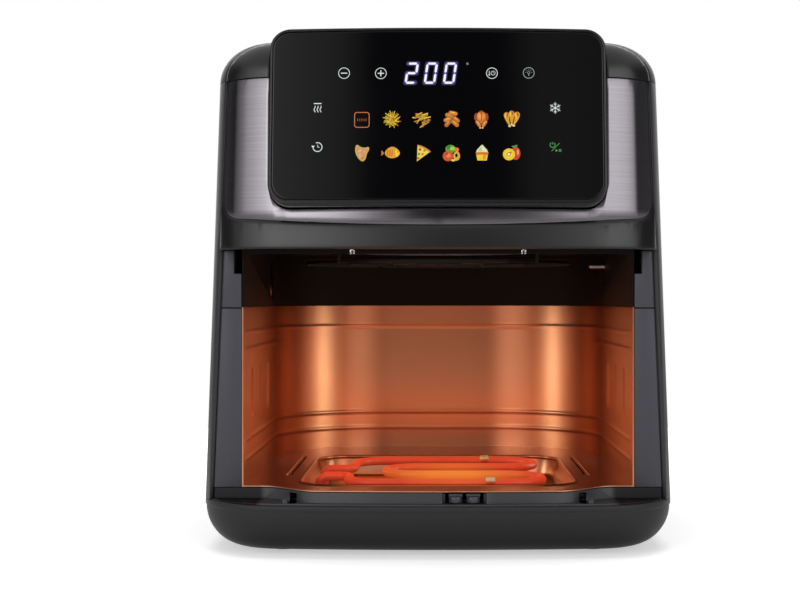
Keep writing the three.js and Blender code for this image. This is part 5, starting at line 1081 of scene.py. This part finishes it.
def makeBottomElement():
    s = element
    y1, y2, y3, y4 = s["runY"]
    frontY, rearY = s["dropY"]
    startX = s["dropX"] + s["dropBend"]
    corners = [(startX, frontY), (s["outerLeftX"], frontY), (s["outerLeftX"], y1), (s["rightX"], y1),
               (s["rightX"], y2), (s["innerLeftX"], y2), (s["innerLeftX"], y3), (s["rightX"], y3), (s["rightX"], y4),
               (s["outerLeftX"], y4), (s["outerLeftX"], rearY), (startX, rearY)]
    level = [(point.x, point.y, s["runZ"]) for point in filletPath(corners, s["bend"], s["bendSteps"])]
    ends = []
    for y in s["dropY"]:
        turn = arcPoints(startX, s["runZ"] - s["dropBend"], s["dropBend"], math.pi, quarter, s["dropSteps"])
        ends.append([(s["dropX"], y, s["endZ"])] + [(x, y, z) for x, z in turn])
    tube = tubeThrough("bottomElement", ends[0] + level + ends[1][::-1], s["radius"])
    finishPiece(tube, redHotTube, "hot_element", nodes=["bottom_element"], smoothAngle=60)


makeLiner()
makePan()
makeBottomElement()
finishPiece(copyOfNode("top_element", "topElement", 0), sheathMetal, "element_sheath", nodes=["top_element"],
            smoothAngle=60)
print("cavity ready")


# Small mouldings and metalwork copied from the solids: nodes, finish, slot, softened edge and moving body

smallPieces = [
    ("header_lip", darkEnamel, "dark_enamel", 0.4),
    ("header_clip_left header_clip_right", chromeWire, "chrome", 0.2),
    ("jamb_lower_left jamb_lower_right jamb_upper_left jamb_upper_right", jambPlastic, "jamb", 0.5),
    ("sill_frame", sillPlastic, "jamb", 0.35),
    ("latch_housing", blackPlastic, "black_plastic", 0.25),
    ("latch_jaw_left", sillPlastic, "jamb", 0.3, "latch_left"),
    ("latch_jaw_right", sillPlastic, "jamb", 0.3, "latch_right"),
    ("latch_roller_left", rollerNylon, "roller", 0.3, "roller_left"),
    ("latch_roller_right", rollerNylon, "roller", 0.3, "roller_right"),
    ("drawer_switch", blackPlastic, "black_plastic", 0.3),
    ("switch_plunger", rollerNylon, "roller", 0.2, "switch_plunger"),
    ("element_clip_front element_clip_rear", goldClip, "clip", 0.15),
    ("upper_chamber", darkEnamel, "dark_enamel", 0.3),
    ("temperature_probe", zincSheet, "zinc", 0.2),
    ("element_guard", guardWire, "element_sheath", 0.3),
    ("fan_impeller", impellerSteel, "zinc", 0.15, "fan_rotor"),
    ("rear_grille", shellPlastic, "shell", 0.3),
    ("cord_gland", footRubber, "rubber", 0.4),
    ("lamp_lens", lensGlass, "lens", 0.3),
]
for nodes, finish, slot, edge, *body in smallPieces:
    for node in nodes.split():
        first, *others = node.split("_")
        name = first + "".join(other.title() for other in others)
        finishPiece(copyOfNode(node, name, edge), finish, slot, *body, nodes=[node], smoothAngle=42)

# pieces that are hidden keep their solid
plainNodes = [
    (greenBoard, "display_board power_board"), (blackPlastic, "display_module cooling_fan"),
    (steatite, "element_terminal lamp_socket thermal_fuse"), (chromeWire, "motor_shaft"),
    (zincSheet, "fan_shroud heat_shield motor_bracket_lower motor_bracket_upper"),
    (bronzeBush, "bearing_lower bearing_upper"), (lamination, "motor_stator motor_rotor"), (copperWire, "motor_coil"),
]
for finish, nodes in plainNodes:
    for node in nodes.split():
        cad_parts[node].data.materials.clear()
        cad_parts[node].data.materials.append(finish)
print("small parts ready")


# Floor, backdrop, lamps and camera

studio = {"floorRadius": 0.85, "floorWhite": 0.5, "fadeFrom": 0.17, "fadeTo": 0.44, "fill": 0.3, "curveTop": 3.0,
          "above": 0.55, "aboveBand": (0.4, 0.75), "below": 0.34, "belowBand": (-0.03, 0.01)}


def makeFloor():
    s = studio
    clearSelection()
    bpy.ops.mesh.primitive_circle_add(vertices=96, radius=s["floorRadius"], fill_type="NGON", location=(0, 0, 0))
    floor = bpy.context.object
    floor.name = "studioFloor"
    n = startFinish("whitePaperSweep", "#e4e4e4", 0.8, Specular_IOR_Level=0.2, Emission_Color=(1, 1, 1, 1))
    n.relief(n.noise(260.0), 0.05)
    away = n.add("VectorMath", {"operation": "LENGTH", 0: n.place}).outputs["Value"]
    # the paper burns out to plain white away from the object
    fade = n.ramp(away, s["floorWhite"], 1.0, s["fadeFrom"], s["fadeTo"], "SMOOTHSTEP")
    floor.data.materials.append(n.shade({"Emission Strength": n.calc("MULTIPLY", n.directly(), fade)}))


def addLamp(name, place, aim, size, power, colour=(1, 1, 1), seen=True, spread=180):
    light = bpy.data.lights.new(name, "AREA")
    light.shape = "RECTANGLE"
    light.size, light.size_y = size
    light.energy = power
    light.color = colour
    light.spread = math.radians(spread)
    lamp = linked(name, light)
    lamp.location = place
    lamp.rotation_euler = (Vector(aim) - Vector(place)).to_track_quat("-Z", "Y").to_euler()
    lamp.visible_camera = False
    lamp.visible_glossy = seen


# what shiny surfaces see round the horizon: (degrees to the right of straight ahead, level)
softboxes = [(-180, 2.0), (-150, 1.3), (-128, 0.1), (-94, 0.03), (-88, 0.25), (-75, 0.55), (-65, 1.0), (-50, 1.35),
             (-30, 1.9), (-17, 2.8), (-12, 2.2), (-8.5, 1.1), (-6.8, 0.42), (-4.4, 0.32), (-3.2, 0.02), (3.0, 0.02),
             (4.4, 0.2), (7, 0.13), (10.4, 0.2), (14.5, 0.9), (20, 1.85), (41, 1.8), (60, 1.55), (74, 1.0), (81, 0.06),
             (128, 0.08), (150, 1.3), (180, 2.0)]


def makeWorld():
    world = bpy.data.worlds.new("studioWorld")
    bpy.context.scene.world = world
    world.use_nodes = True
    world.node_tree.nodes.clear()
    n = nodeMaker(world)
    along = n.split(n.add("TexCoord").outputs["Generated"])
    turn = n.calc("ARCTAN2", along["X"], n.calc("MULTIPLY", along["Y"], -1.0))
    levels = n.add("FloatCurve", {"Value": n.ramp(turn, start=-math.pi, end=math.pi)})
    curve = levels.mapping.curves[0]
    for i, (degrees, level) in enumerate(softboxes):
        at = ((degrees + 180) / 360, level / studio["curveTop"])
        if i in (0, len(softboxes) - 1):
            curve.points[0 if i == 0 else -1].location = at
        else:
            curve.points.new(*at)
    for point in curve.points:
        point.handle_type = "VECTOR"
    levels.mapping.update()
    ring = n.calc("MULTIPLY", levels.outputs["Value"], studio["curveTop"])
    up = n.ramp(along["Z"], 0.0, 1.0, *studio["aboveBand"], "SMOOTHSTEP")
    down = n.ramp(along["Z"], 0.0, 1.0, *studio["belowBand"])
    upper = n.add("Mix", {"data_type": "FLOAT", 0: up, 2: ring, 3: studio["above"]}).outputs[0]
    whole = n.add("Mix", {"data_type": "FLOAT", 0: down, 2: studio["below"], 3: upper}).outputs[0]
    fill, shine, white = [n.add("Background", {"Color": (1, 1, 1, 1), "Strength": strength}).outputs[0]
                          for strength in (studio["fill"], whole, 1.0)]
    isGlossy = n.add("LightPath").outputs["Is Glossy Ray"]
    glossy = n.add("MixShader", {0: isGlossy, 1: fill, 2: shine}).outputs[0]
    final = n.add("MixShader", {0: n.directly(), 1: glossy, 2: white}).outputs[0]
    n.add("OutputWorld", {"Surface": final})


def makeLamps():  # in metres and watts
    addLamp("keyLeft", (-1.3, -1.5, 0.6), (0, 0, 0.2), (0.55, 1.3), 12, seen=False)
    addLamp("keyRight", (1.3, -1.5, 0.6), (0, 0, 0.2), (0.55, 1.3), 8.5, seen=False)
    addLamp("overhead", (0, 0.1, 1.9), (0, 0, 0.2), (1.6, 1.2), 26, seen=False)
    warm = (1.0, 0.36, 0.12)
    addLamp("elementGlow", (0, -0.04, 0.052), (0, -0.04, 0.3), (0.15, 0.14), 0.1, warm)
    addLamp("airGlow", (0, -0.06, 0.185), (0, -0.03, 0.0), (0.16, 0.12), 0.06, warm)
    for side in (-1, 1):  # seen as the pale bands in the rounded rear corners of the liner
        addLamp("cornerBand", (side * 0.127, 0.006, 0.105), (-side * 0.2, 0.006, 0.105), (0.04, 0.12), 0.026,
                (0.96, 1.0, 0.84), spread=90)


camera = {"place": (0, -1.1, 0.1694), "lens": 64.4, "sensor": 36, "shift": -38 / 800, "clip": 0.01}


def makeCamera():
    data = bpy.data.cameras.new("photoCamera")
    data.lens = camera["lens"]
    data.sensor_width = camera["sensor"]
    data.shift_x = camera["shift"]
    data.clip_start = camera["clip"]
    view = linked("photoCamera", data)
    view.location = camera["place"]
    view.rotation_euler = (quarter, 0, 0)
    bpy.context.scene.camera = view
    bpy.context.scene.view_settings.view_transform = "Standard"


makeFloor()
makeWorld()
makeLamps()
makeCamera()
print("studio ready")
